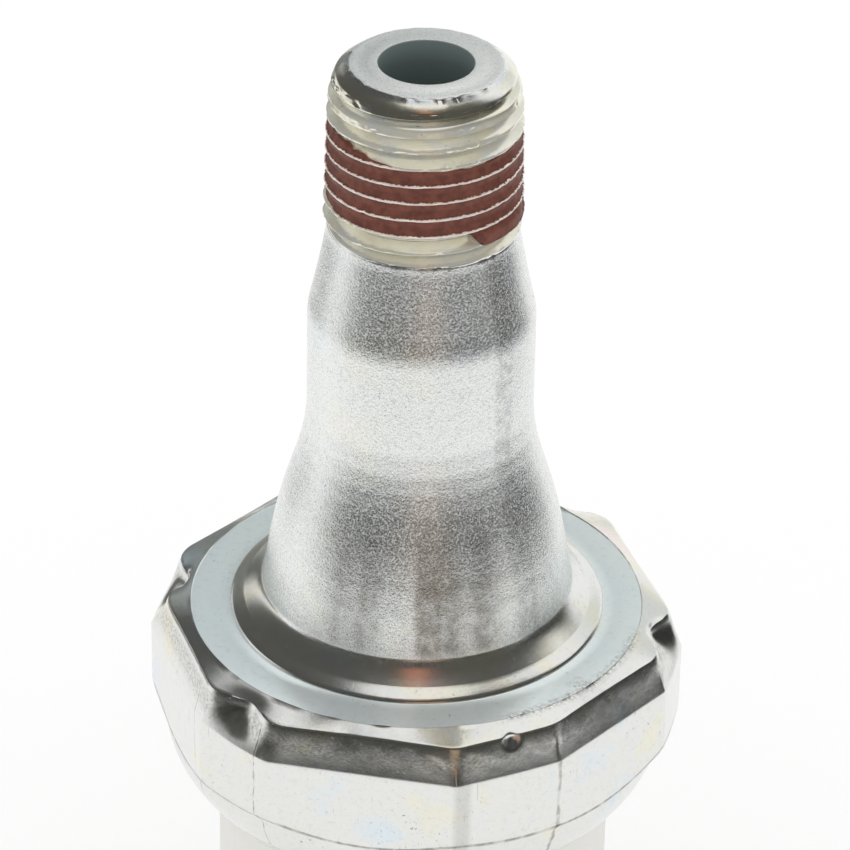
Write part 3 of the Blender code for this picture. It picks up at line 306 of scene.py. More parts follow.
make_room()
make_floor()
bpy.context.scene.view_settings.view_transform = "Standard"
print("a white room and a white floor")

# %% [markdown]
# White on white has no outline. A photographer stands dark card round shiny metal, so that its
# curves show dark bands. Here a low black card stands in front, with another at each end, and a
# tall one is bent round the front and both sides. Of the three at the back one is dark, and the two
# paler ones are what the turned disc mirrors. A brown and an orange strip warm the middle. The cards
# are curved sheets round the part's axis, soft at their edges, and only reflections see them: the
# light on the floor stays even.

# %% Cards
CARD_STEPS = 48
# Each card: colour, distance from the axis, its ends as the camera sees them, its lower and upper
# edge, and how far it fades at the left, the right, below and above. Degrees and millimetres.
CARDS = {
    "low_black_card": ((0.055, 0.055, 0.05), 105, (-95, 93), (8, 66), (30, 26, 9, 10)),
    "right_black_card": ((0.045, 0.045, 0.042), 104, (75, 128), (-13, 96), (6, 10, 12, 24)),
    "left_black_card": ((0.10, 0.10, 0.095), 103, (-158, -104), (8, 42), (10, 10, 8, 10)),
    "tall_black_card": ((0.09, 0.09, 0.085), 122, (-156, 112), (52, 470), (18, 20, 14, 60)),
    "brown_card": ((0.42, 0.31, 0.23), 100, (-9, 22), (12, 62), (9, 9, 8, 8)),
    "orange_card": ((0.55, 0.26, 0.17), 101, (-12, 14), (140, 400), (6, 6, 40, 40)),
    "dark_back_card": ((0.20, 0.215, 0.21), 132, (-172, -140), (-8, 95), (8, 8, 8, 25)),
    "grey_back_card": ((0.39, 0.44, 0.45), 300, (-200, -140), (90, 320), (24, 8, 60, 60)),
    "pale_back_card": ((0.76, 0.78, 0.77), 310, (120, 200), (90, 320), (25, 8, 60, 60))}


def card_finish(name, colour, ends, edges, soft):
    """Matt card that fades out towards its edges."""
    material, shader, place = matt_material(name, colour)
    middle, half_width = (ends[0] + ends[1]) / 2, (ends[1] - ends[0]) / 2
    low, high = edges
    soft_left, soft_right, soft_low, soft_high = soft
    x, y, z = axes(place)
    height = z / MM
    facing = x * math.cos(around(middle)) + y * math.sin(around(middle))
    across = y * math.cos(around(middle)) - x * math.sin(around(middle))
    turn = across.maths("ARCTAN2", across, facing) * (180 / math.pi)
    shown = turn.between(-half_width, soft_left - half_width)
    shown = shown * (1 - turn.between(half_width - soft_right, half_width))
    shown = shown * height.between(low, low + soft_low) * (1 - height.between(high - soft_high, high))
    clear = shown.node("ShaderNodeBsdfTransparent")
    card = Wire(shown.tree, shader.outputs[0])
    both = shown.node("ShaderNodeMixShader", {}, {0: shown, 1: clear, 2: card})
    shown.tree.links.new(both.socket, shown.tree.nodes["Material Output"].inputs["Surface"])
    return material


def make_card(name, colour, distance, ends, edges, soft):
    """A sheet bent round the axis from one of the camera's directions to another."""
    bm = bmesh.new()
    uprights = []
    for step in range(CARD_STEPS + 1):
        angle = around(ends[0] + (ends[1] - ends[0]) * step / CARD_STEPS)
        uprights.append([bm.verts.new(polar(distance * MM, angle, edge * MM)) for edge in edges])
    for (foot, head), (next_foot, next_head) in zip(uprights, uprights[1:]):
        bm.faces.new((foot, next_foot, next_head, head))
    card = new_object(name, bm)
    card.data.materials.append(card_finish(name, colour, ends, edges, soft))
    card.visible_camera = False
    card.visible_diffuse = False
    card.visible_shadow = False


for card_name, card_facts in CARDS.items():
    make_card(card_name, *card_facts)
print(len(CARDS), "cards round the part")

# %% [markdown]
# ## The housing
#
# The housing is one piece of formed steel: a pipe thread, a neck that flares to a turned ring, and a
# flat top with a hexagon round it, whose wall is rolled in at the bottom. All of it is a section
# that is swept round the axis. A Screw modifier could sweep one, but the flats, creases and folds
# need a radius that changes on the way round, so the mesh is built ring by ring. The sizes repeat
# those of the solid, and what is finer is added: the thread's flats, its sealant, the pinched corners.

# %% Sizes of the housing
PITCH = 25.4 / 27 * MM
THREAD_DEPTH = 0.66 * MM
FLANK_SLOPE = math.tan(math.radians(60))
CREST_HEIGHT = thread_end - 5.34 * MM
THREAD_LOW = thread_end - 9.08 * MM
THREAD_HIGH = thread_end - 0.60 * MM
BORE_RADIUS = 2.4 * MM
ROOF_TOP = 30.0 * MM
DISC_RADIUS = 12.0 * MM
HALF_FLATS = 13.3 * MM
CORNER_RADIUS = 14.24 * MM
FLATS_BOTTOM = 23.1 * MM
FIRST_FLAT = -11.0

# The mouth, from inside the bore to the thread: (height below the thread's end, radius, and how much
# and how often a worn edge wanders), in millimetres.
MOUTH_LINE = [(2.6, 2.4, 0, 3), (1.2, 2.4, 0, 3), (0.06, 2.4, 0, 3), (0, 2.45, 0, 3), (0, 3.04, 0, 3),
              (0.02, 3.08, 0, 3), (0.02, 3.62, 0, 3), (0.025, 3.83, 0.05, 9), (0.05, 3.90, 0.07, 11),
              (0.12, 3.97, 0.05, 8), (0.27, 4.22, 0, 3), (0.47, 4.48, 0, 3), (0.56, 4.56, 0, 3)]

# The thread's crests follow this line of (height below the thread's end, radius), in millimetres.
CREST_LINE = [(0.0, 3.90), (0.12, 4.04), (0.5, 4.50), (0.65, 4.61), (1.05, 4.75), (1.6, 4.88), (2.2, 4.96),
              (4.0, 5.03), (8.55, 5.13), (9.05, 4.93), (9.6, 4.97)]

# The neck from the thread down to the flare's foot: (height below the thread's end, radius).
NECK_LINE = [(9.08, 4.92), (9.6, 4.975), (10.6, 5.16), (11.8, 5.40), (13.0, 5.66), (13.75, 5.84),
             (14.3, 5.90), (17.0, 5.90), (19.6, 5.90), (20.8, 6.0), (21.8, 6.18), (22.8, 6.44),
             (23.8, 6.76), (24.8, 7.08), (25.8, 7.35), (26.8, 7.59), (28.2, 7.86), (29.6, 8.06), (30.4, 8.18)]

# The foot from the cone to the disc: (radius, height), with the lip's crisp edges in between.
FOOT_BEND = [Vector((8.18, 31.55)), Vector((8.23, 31.265)), Vector((9.2, 30.56))]
LIP_LINE = [(9.22, 30.545), (9.40, 30.45), (9.60, 30.345), (9.78, 30.25), (9.87, 30.195), (9.92, 30.14),
            (9.945, 30.07), (9.96, 30.015), (9.99, 30.0)]

# Each corner: middle, half width, place of its pinch and the pinch's depth, seen from the camera.
CORNERS = [(-43.7, 8.7, -41.5, 0.72 * MM), (21.2, 12.1, 22.0, 0.0), (78.0, 9.0, 80.0, 0.95 * MM),
           (139.0, 9.5, 141.0, 1.1 * MM), (199.0, 9.0, 197.5, 0.9 * MM), (258.0, 9.0, 262.0, 1.2 * MM)]

print(f"thread pitch {PITCH / MM:.3f} mm, {len(CORNERS)} corners")

# %% [markdown]
# The thread is a helix. It could be ridges modelled as bump, but its outline shows against the white
# room, and plain rings of points cut across it would leave steps on its crests. So its rows of
# points climb with it: one turn on, a row meets the row one pitch higher. At both ends the rows are
# cut off at a plain ring.

# %% Thread
# Places of the rows within one pitch, as shares of it from a crest upwards.
ROW_PLACES = (0.0, 0.05, 0.11, 0.19, 0.27, 0.35, 0.43, 0.5, 0.57, 0.65, 0.73, 0.81, 0.89, 0.95)


def crest_height(angle):
    """Height of the crest that passes CREST_HEIGHT in front of the camera."""
    return CREST_HEIGHT + PITCH * (angle - VIEW_ANGLE) / TAU


def line_radius(line, below):
    """Radius on a line of points, at a height below the thread's end in millimetres."""
    return float(np.interp(below, *zip(*line))) * MM


def crest_radius(height):
    return line_radius(CREST_LINE, (thread_end - height) / MM)


def sealant_edges(viewer_degrees):
    """Top and bottom of the sealant's band, which runs askew and lower on the right."""
    turn = math.radians(viewer_degrees)
    top = thread_end - (3.07 + 0.5 * math.cos(turn - math.radians(25))) * MM
    drop = smooth_step(26, 38, viewer_degrees) * (1 - smooth_step(120, 160, viewer_degrees))
    bottom = thread_end - (7.3 + 0.85 * drop) * MM
    return bottom, top


def sealant_share(height, angle):
    bottom, top = sealant_edges(away_from(angle, 0))
    soft = 0.06 * MM
    over_bottom = smooth_step(bottom - soft, bottom + soft, height)
    return over_bottom * (1 - smooth_step(top - soft, top + soft, height))


def thread_radius(height, angle):
    """Radius of the thread's surface: 60-degree flanks under topped crests, and the sealant."""
    below = (thread_end - height) / MM
    limit = crest_radius(height)
    turns = (height - crest_height(angle)) / PITCH
    from_crest = abs(turns - round(turns)) * PITCH
    topping = (0.06 + 0.34 * bell(below - 1.2, 1.0)) * MM
    flank = limit + topping - from_crest * FLANK_SLOPE
    depth = THREAD_DEPTH * (1 - smooth_step(8.5, 9.05, below))
    radius = max(min(flank, limit), limit - depth)
    spot = Vector(polar(5, angle, height / MM)) * 1.6
    worn = bell(from_crest, 0.12 * MM) * max(0.0, noise.noise(spot * 2.2) - 0.05) * 0.12 * MM
    share = sealant_share(height, angle)
    hollow = 0.10 + 0.10 * (2 * from_crest / PITCH) + 0.03 * noise.noise(spot)
    filled = max(radius, limit - hollow * MM)
    blob = share * smooth_step(24, 34, away_from(angle, 0)) * (1 - smooth_step(70, 90, away_from(angle, 0)))
    blob *= smooth_step(-8.25, -8.05, -below) * (1 - smooth_step(-7.5, -7.1, -below))
    filled = filled + (limit + 0.04 * MM - filled) * blob
    return radius - worn + (filled - radius) * share


def join(bm, corners):
    """A face between corners, of which some may be the same point."""
    distinct = []
    for corner in corners:
        if corner not in distinct:
            distinct.append(corner)
    if len(distinct) > 2:
        bm.faces.new(distinct)


def add_thread(bm, angles, upper, lower):
    """Rows of points along the helix, between an upper and a lower ring of points."""
    rows_a_turn = len(ROW_PLACES)
    turns_down = math.ceil((CREST_HEIGHT - THREAD_LOW) / PITCH) + 1
    turns_up = math.ceil((THREAD_HIGH - CREST_HEIGHT) / PITCH) + 1
    start = angles[0]
    rows = []
    for turn in range(-turns_down, turns_up):
        for place in ROW_PLACES:
            row = []
            for index, angle in enumerate(angles):
                height = crest_height(VIEW_ANGLE) + PITCH * (turn + place + (angle - start) / TAU)
                height += PITCH * (start - VIEW_ANGLE) / TAU
                if height >= THREAD_HIGH:
                    row.append(upper[index])
                elif height <= THREAD_LOW:
                    row.append(lower[index])
                else:
                    row.append(bm.verts.new(polar(thread_radius(height, angle), angle, height)))
            rows.append(row)
    last = len(angles) - 1
    for number in range(len(rows) - 1):
        row, above = rows[number], rows[number + 1]
        for index in range(last):
            join(bm, (row[index], row[index + 1], above[index + 1], above[index]))
        following = number + rows_a_turn
        next_row = rows[following][0] if following < len(rows) else upper[0]
        next_above = rows[following + 1][0] if following + 1 < len(rows) else upper[0]
        join(bm, (row[last], next_row, next_above, above[last]))
    return len(rows)


print(f"{len(ROW_PLACES)} rows of points to a turn of the thread")

# %% [markdown]
# The hexagon was pressed from round stock, so each corner is a narrow face of its own between two
# creases, and the metal had nowhere to go: it was pinched into a fold at all corners but one, which
# has a small round dimple. Cutting the flats with booleans would leave ragged faces where they meet
# the curved shoulder. A radius worked out for each direction keeps the rings whole, with points that
# lie closer together at the creases.

# %% Hexagon
FLAT_STEP = 0.95
CORNER_STEP = 0.55
CREASE_STEP = 0.22
CREASE_REACH = 0.7
CORNER_CROWN = 0.08 * MM
PINCH_WIDTH = 5.8
ROUNDING = (-1.8, -0.9, 0.0, 0.9, 1.8)
NECK_CREASE = 41.0
DIMPLE_PLACE = 22.3
DIMPLE_REACH = 13.42 * MM
DIMPLE_HEIGHT = 29.52 * MM
DIMPLE_RADIUS = 0.66 * MM
DIMPLE_DEPTH = 0.26 * MM


def spread(start, end, step):
    """An even number of evenly spaced values from start, without the end itself."""
    count = 2 * max(1, round((end - start) / step / 2))
    return [start + (end - start) * index / count for index in range(count)]


def wall_angles():
    """Angles round the hexagon in rising order, with the creases finely divided."""
    degrees = []
    for number, (middle, half, pinch, depth) in enumerate(CORNERS):
        left, right = middle - half, middle + half
        following = CORNERS[(number + 1) % len(CORNERS)]
        next_left = following[0] - following[1] + (360 if number + 1 == len(CORNERS) else 0)
        degrees += spread(left - CREASE_REACH, left + CREASE_REACH, CREASE_STEP)
        degrees += spread(left + CREASE_REACH, right - CREASE_REACH, CORNER_STEP)
        degrees += spread(right - CREASE_REACH, right + CREASE_REACH, CREASE_STEP)
        degrees += spread(right + CREASE_REACH, next_left - CREASE_REACH, FLAT_STEP)
    return [around(value) for value in degrees]


def flat_radius(degrees):
    """Distance from the axis to the nearest flat, or to the round stock where that is less."""
    turn = (degrees - FIRST_FLAT + 30) % 60 - 30
    return min(HALF_FLATS / math.cos(math.radians(turn)), CORNER_RADIUS)


def hexagon_radius(angle):
    """Distance from the axis to the wall: flats, with a slightly crowned face across each corner."""
    for middle, half, pinch, depth in CORNERS:
        turn = away_from(angle, middle)
        if abs(turn) < half:
            first, last = flat_radius(middle - half), flat_radius(middle + half)
            across = first * math.sin(math.radians(half + turn)) + last * math.sin(math.radians(half - turn))
            chord = first * last * math.sin(math.radians(2 * half)) / across
            return min(chord + CORNER_CROWN * (1 - (turn / half) ** 2), CORNER_RADIUS)
    return flat_radius(away_from(angle, 0))


def pinch_depth(angle):
    """How far the folds of the corners draw a place in, at the level where they are deepest."""
    return sum(depth * bell(away_from(angle, pinch), PINCH_WIDTH) for middle, half, pinch, depth in CORNERS)


def dimple(angle, radius, height):
    """How deep a place lies in the round dimple of the front corner."""
    centre = Vector((DIMPLE_REACH, 0, DIMPLE_HEIGHT))
    turn = math.radians(away_from(angle, DIMPLE_PLACE))
    place = Vector(polar(radius, turn, height))
    return DIMPLE_DEPTH * smooth_step(1.0, 0.1, (place - centre).length / DIMPLE_RADIUS)


fine_angles = wall_angles()
coarse_angles = fine_angles[::2]
print(f"{len(fine_angles)} points round the hexagon and {len(coarse_angles)} round the neck")

# %% [markdown]
# The rest of the section is a list of rings from the bore's mouth down the outside and up the inner
# wall. Stored points would fix how many a ring has. A ring is a small function here, which gives a
# radius and a height for each angle, so it can be built coarse or fine. Rings on the hexagon have
# twice as many points as those on the neck, and the face between the two kinds has one corner more.

# %% Rings of the section
SHOULDER_STEPS = 30
PAD_SHARE = 0.27
PAD_DROP = 0.33 * MM
BEND_WIDTH = 0.65 * MM
WALL_TANGENT = 27.6 * MM
WALL_STEPS = 9
NECK_STEP = 0.24 * MM


def plain(radius, height, wobble=0.0, waves=3.0):
    """A round ring, or one whose radius wanders by wobble as a hand-worn edge does."""
    def at(angle):
        spot = Vector(polar(1, angle, height / MM / 7)) * waves
        return radius + wobble * noise.noise(spot), height
    return at


def neck_ring(below):
    """A ring of the neck, with the faint crease that forming left down its right side."""
    radius = line_radius(NECK_LINE, below / MM)

    def at(angle):
        turn = abs(away_from(angle, NECK_CREASE))
        fold = 0.05 * MM * max(0.0, 1 - turn / 7) * smooth_step(9.5, 12, below / MM)
        fold *= 1 - smooth_step(28, 30, below / MM)
        return radius + fold, thread_end - below
    return at


def foot_rings():
    """From the flare into a straight cone, over the lip and down its small step to the disc."""
    start, handle, end = FOOT_BEND
    steps = 7
    rings = []
    for step in range(1, steps + 1):
        share = step / steps
        point = start.lerp(handle, share).lerp(handle.lerp(end, share), share)
        rings.append(plain(point.x * MM, point.y * MM))
    return rings + [plain(radius * MM, height * MM) for radius, height in LIP_LINE]


def bezier(points, share):
    while len(points) > 1:
        points = [first.lerp(second, share) for first, second in zip(points, points[1:])]
    return points[0]


def shoulder_point(angle, share):
    """The shoulder before pinching: a sloped pad, a tight bend and a nearly upright wall."""
    rounded = sum(hexagon_radius(angle + math.radians(step)) for step in ROUNDING) / len(ROUNDING)
    wall = rounded + (hexagon_radius(angle) - rounded) * smooth_step(0.7, 1.0, share)
    start = Vector((DISC_RADIUS + 0.05 * MM, ROOF_TOP + 0.01 * MM))
    bend = Vector((wall - BEND_WIDTH, ROOF_TOP - PAD_DROP))
    if share < PAD_SHARE:
        return start.lerp(bend, share / PAD_SHARE)
    slope = (bend - start).normalized()
    points = [bend, bend + slope * BEND_WIDTH * 0.25, Vector((wall - 0.33 * MM, ROOF_TOP - 1.4 * MM)),
              Vector((wall, WALL_TANGENT))]
    return bezier(points, (share - PAD_SHARE) / (1 - PAD_SHARE))


def shoulder_ring(share):
    """A ring of the shoulder, from the disc's edge (0) to the wall (1), with its folds."""
    def at(angle):
        point = shoulder_point(angle, share)
        depth = smooth_step(0.0, PAD_SHARE * 1.3, share) * smooth_step(27.65 * MM, 29.3 * MM, point.y)
        radius = point.x - pinch_depth(angle) * depth - dimple(angle, point.x, point.y)
        spot = Vector(polar(14, angle, point.y / MM)) * 0.9
        uneven = noise.noise(spot) * 0.05 * MM * smooth_step(0.0, 0.3, share) * (1 - share)
        return max(radius - abs(uneven), DISC_RADIUS + 0.06 * MM), point.y
    return at


def disc_edge(raised):
    """The edge of the turned disc, and the burr that its pressing raised just outside it."""
    def at(angle):
        spot = Vector(polar(1, angle, 0)) * 9
        burr = max(0.0, noise.noise(spot)) * 0.08 * MM
        if raised:
            return DISC_RADIUS + 0.05 * MM, ROOF_TOP + 0.01 * MM + burr
        return DISC_RADIUS, ROOF_TOP - 0.05 * MM
    return at


def wall_ring(share):
    """A ring of the wall, from the shoulder (0) to its foot (1), which rises at the corners."""
    def at(angle):
        radius = hexagon_radius(angle)
        foot = FLATS_BOTTOM + radius - HALF_FLATS
        crease = sum(bell(away_from(angle, middle + side * half), 0.35)
                     for middle, half, pinch, depth in CORNERS for side in (-1, 1))
        return radius - crease * 0.05 * MM, WALL_TANGENT + (foot - WALL_TANGENT) * share
    return at


def outer_rings():
    """Three groups of rings down the outside: the mouth, the neck and the hexagon."""
    mouth = [plain(radius * MM, thread_end - below * MM, wobble * MM, waves)
             for below, radius, wobble, waves in MOUTH_LINE]
    count = round((NECK_LINE[-1][0] - NECK_LINE[0][0]) * MM / NECK_STEP)
    top, foot = NECK_LINE[0][0] * MM, NECK_LINE[-1][0] * MM
    neck = [neck_ring(top + (foot - top) * index / count) for index in range(1, count + 1)]
    neck += foot_rings()
    hexagon = [plain(10.6 * MM, ROOF_TOP), plain(11.5 * MM, ROOF_TOP - 0.01 * MM),
               disc_edge(False), disc_edge(True)]
    hexagon += [shoulder_ring(index / SHOULDER_STEPS) for index in range(1, SHOULDER_STEPS + 1)]
    hexagon += [wall_ring(index / WALL_STEPS) for index in range(1, WALL_STEPS + 1)]
    return mouth, neck, hexagon


mouth_rings, neck_rings, hexagon_rings = outer_rings()
print("rings:", len(mouth_rings), "at the mouth,", len(neck_rings), "on the neck,",
      len(hexagon_rings), "on the hexagon")

# %% [markdown]
# Below the flats the wall is round again and rolls in under the connector's flange, which holds the
# sender together. The inner wall follows the solid: a seat for the clamped stack, the roof, and a
# cone up to the bore. It could be left out, as it is hidden, but a closed mesh has a real thickness
# and can be cut open or printed.

# %% Skirt and inner wall
SKIRT_RADIUS = 13.4 * MM
RIM_RADIUS = 10.9 * MM
RIM_BOTTOM = 20.0 * MM
RIM_TOP = 21.3 * MM
RIM_FLAT = 0.9 * MM
SEAT_RADIUS = 11.5 * MM
ROOF_BOTTOM = 28.4 * MM
CONE_FOOT = 7.6 * MM
CONE_HEIGHT = 7.6 * MM
SKIRT_STEPS = 14


def skirt_ring(point, step):
    """A round ring, whose first few follow the flats so that those run out without a ledge."""
    def at(angle):
        return min(point.x, hexagon_radius(angle) + (0.02 + 0.05 * step) * MM), point.y
    return at


def skirt_rings():
    points = [Vector((SKIRT_RADIUS, FLATS_BOTTOM - 0.1 * MM)),
              Vector((SKIRT_RADIUS - 0.15 * MM, (FLATS_BOTTOM + RIM_BOTTOM) / 2)),
              Vector((RIM_RADIUS + RIM_FLAT, RIM_BOTTOM))]
    return [skirt_ring(bezier(points, step / SKIRT_STEPS), step) for step in range(SKIRT_STEPS + 1)]


def inner_rings():
    edge = 0.3 * MM
    return [plain(RIM_RADIUS + edge, RIM_BOTTOM, 0.05 * MM, 5), plain(RIM_RADIUS, RIM_BOTTOM + edge),
            plain(RIM_RADIUS, RIM_TOP - edge), plain(RIM_RADIUS + edge, RIM_TOP),
            plain(SEAT_RADIUS, RIM_TOP), plain(SEAT_RADIUS, ROOF_BOTTOM), plain(CONE_FOOT, ROOF_BOTTOM),
            plain(CONE_FOOT, ROOF_BOTTOM + 0.6 * MM), plain(BORE_RADIUS, ROOF_BOTTOM + CONE_HEIGHT)]


def add_ring(bm, ring, angles):
    points = []
    for angle in angles:
        radius, height = ring(angle)
        points.append(bm.verts.new(polar(radius, angle, height)))
    return points


def add_band(bm, upper, lower):
    """Faces between two rings. One of them may have twice as many points as the other."""
    if len(upper) == len(lower):
        for index in range(len(upper)):
            after = (index + 1) % len(upper)
            bm.faces.new((upper[index], lower[index], lower[after], upper[after]))
        return
    few, many = (upper, lower) if len(upper) < len(lower) else (lower, upper)
    for index in range(len(few)):
        after = (index + 1) % len(few)
        middle = 2 * index
        bm.faces.new((few[index], many[middle], many[middle + 1], many[2 * after], few[after]))


def add_piece(name, bm, material, body, sharp=35):
    """Turn a bmesh into a smooth-shaded object that rides on a body."""
    bmesh.ops.recalc_face_normals(bm, faces=bm.faces)
    piece = new_object(name, bm)
    piece.data.shade_smooth()
    piece.data.set_sharp_from_angle(angle=math.radians(sharp))
    piece.data.materials.append(material)
    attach(piece, body)
    return piece


print("skirt", len(skirt_rings()), "rings, inner wall", len(inner_rings()), "rings")

# %% [markdown]
# The plating is zinc with a thin clear passivation. It is nearly white, with patches of pale blue,
# straw and pink where the film is thinner or thicker. The neck kept the fine orange peel of its
# forming, the disc was turned smooth, and the thread looks cream. The sealant is a matt red-brown
# paste that has dried in the thread and was rubbed off its crests. All this could be painted on an
# image. Masks from 0 to 1, worked out from the height, the radius and the angle of a place, stay
# sharp from near by and need no picture, so each region is such a mask here.

# %% Colours of the housing
ZINC = (0.81, 0.815, 0.79)
ZINC_BLUE = (0.74, 0.81, 0.85)
ZINC_STRAW = (0.84, 0.82, 0.70)
ZINC_PINK = (0.87, 0.79, 0.78)
ZINC_CREAM = (0.88, 0.855, 0.72)
NECK_ZINC = (0.93, 0.955, 0.945)
NECK_FLECK = (0.30, 0.31, 0.30)
DISC_ZINC = (0.79, 0.865, 0.87)
END_ZINC = (0.86, 0.87, 0.85)
BORE_SHADE = (0.24, 0.30, 0.29)
RUBBED = (0.92, 0.80, 0.75)
SEALANT = (0.19, 0.060, 0.038)
SEALANT_DARK = (0.12, 0.036, 0.024)
# Colour of dirt, and of the painted shade along the foot of the flats and under the disc's burr
DIRT_AND_SHADE = (0.16, 0.14, 0.11)
print("the plating's own colour is", ZINC, "and the paste's is", SEALANT)

# %% Regions of the housing
def stroke(value, centre, half, soft):
    """1 where a value lies within half of a centre, fading out over soft."""
    away = value - centre
    return 1 - away.maths("ABSOLUTE", away).between(half, half + soft)


def housing_masks(place):
    """Height below the thread's end, radius and angle of a place, and the regions they make."""
    x, y, z = axes(place)
    square = x * x + y * y
    radius = square.maths("SQRT", square) / MM
    below = (thread_end - z) / MM
    turn = x.maths("ARCTAN2", y, x) - VIEW_ANGLE
    degrees = turn.maths("WRAP", turn, math.pi, -math.pi) * (180 / math.pi)
    regions = {
        "bore": 1 - radius.between(2.41, 2.46),
        "end": (1 - below.between(0.03, 0.06)) * radius.between(2.44, 2.48),
        "thread": (1 - below.between(8.95, 9.05)) * radius.between(4.1, 4.25),
        "neck": below.between(9.05, 9.2) * (1 - below.between(29.9, 30.9)),
        "disc": below.between(31.95, 31.99) * radius.between(9.45, 9.55) * (1 - radius.between(12.0, 12.05)),
        "top": below.between(31.7, 31.9) * (1 - below.between(32.3, 32.5)),
        "shoulder": below.between(32.45, 32.8) * (1 - below.between(33.3, 34.1)) * radius.between(12.3, 12.6),
        "wall": below.between(32.5, 33.2) * radius.between(12.2, 12.4)}
    return z, below, radius, turn, degrees, regions


print("masks for the regions of the housing are ready")

# %% [markdown]
# The paste fills the grooves of the thread and is gone from its crests. A helix climbs one pitch in a
# turn, so the distance to the nearest crest follows from the height and the angle of a place. Noise
# makes the edges ragged, and on the right one blob runs over the last turns.

# %% Sealant
def sealant_masks(place, z, below, turn, degrees, regions):
    """Where the paste fills the thread, and where it was rubbed off the crests."""
    turns = (z - CREST_HEIGHT) / PITCH - turn / TAU
    from_crest = turns.maths("ABSOLUTE", turns - turns.maths("ROUND", turns))
    ragged = speckle(place, 0.16 * MM, 3, 0.65)
    swell = speckle(place, 1.1 * MM, 2, 0.5)
    top = 3.07 + 0.5 * turn.maths("COSINE", turn - math.radians(25)) + (swell - 0.5) * 0.25
    drop = degrees.between(26, 38) * (1 - degrees.between(120, 160))
    bottom = 7.3 + 0.85 * drop + (swell - 0.5) * 0.15
    band = (below - top).between(-0.03, 0.03) * (1 - (below - bottom).between(-0.03, 0.03))
    band = band * regions["thread"]
    blob = drop * below.between(7.2, 7.5)
    off_crest = (from_crest + (ragged - 0.5) * 0.17).between(0.048, 0.08)
    sealed = band * off_crest.maths("MAXIMUM", off_crest, blob)
    return sealed, band * (1 - off_crest)


print("the sealant ends about 7.3 mm below the thread's end")

# %% [markdown]
# The plating's colour starts with soft patches of its tints, and each region then mixes its own
# shade over them. Fine dark flecks lie in the hollows of the orange peel, on the neck and on the end
# face, and a darker streak runs down beside the crease on the neck's right.

# %% Colour of the plating
def plating_colour(place, degrees, regions):
    patches = speckle(place, 4.6 * MM, 3, 0.55)
    tints = [(0.30, ZINC_BLUE), (0.42, ZINC), (0.54, ZINC), (0.64, ZINC_STRAW), (0.74, ZINC_PINK)]
    colour = patches.node("ShaderNodeValToRGB", {"stops": tints}, {"Fac": patches}, "Color")
    colour = mixed(regions["neck"] * 0.6, colour, NECK_ZINC)
    colour = mixed(regions["disc"] * 0.85, colour, DISC_ZINC)
    colour = mixed(regions["end"], colour, END_ZINC)
    cream = speckle(place, 1.6 * MM, 2, 0.5, (1, 1, 2.5)).between(0.25, 0.55)
    colour = mixed(regions["thread"] * cream, colour, ZINC_CREAM)
    flecks = speckle(place, 0.13 * MM, 3, 0.7).between(0.52, 0.62)
    streak = stroke(degrees, 46.5, 4.0, 4.0) * speckle(place, 0.5 * MM, 3, 0.6).between(0.35, 0.6)
    dark = (regions["neck"] * 0.26 + regions["end"] * 0.25) * flecks + regions["neck"] * streak * 0.3
    colour = mixed(dark, colour, NECK_FLECK)
    return mixed(regions["bore"], colour, BORE_SHADE)


print("the plating has four tints under the shades of its regions")

# %% [markdown]
# A used part isn't clean. Dirt lies in lines beside the corners. Painted shade lies along the foot of
# the flats, where the wall meets the skirt, and under the disc's burr on the front. The disc's edge and
# the shoulder are scuffed, there are pits in clusters and scratches down the flats, and dark runs go
# down the front of the flare. Each of these is a mask, and their sum says how much dirt and painted
# shade a place carries.

# %% Wear, dirt and painted shade
# The flats end where depth below the thread's end and radius, in millimetres, have this sum.
FOOT_LINE = (thread_end - FLATS_BOTTOM + HALF_FLATS) / MM
# Upright lines: place, how far it wanders, half width and softness in degrees, and how dark it is
# on clean ground and how much more in dirty patches.
SEAMS = [(33.3, 1.6, 0.12, 0.55, 0.12, 0.45), (-35.5, 0.3, 0.05, 0.16, 0.0, 0.7),
         (-57.0, 0.3, 0.05, 0.16, 0.0, 0.6), (10.5, 0.0, 0.8, 1.8, 0.22, 0.0)]


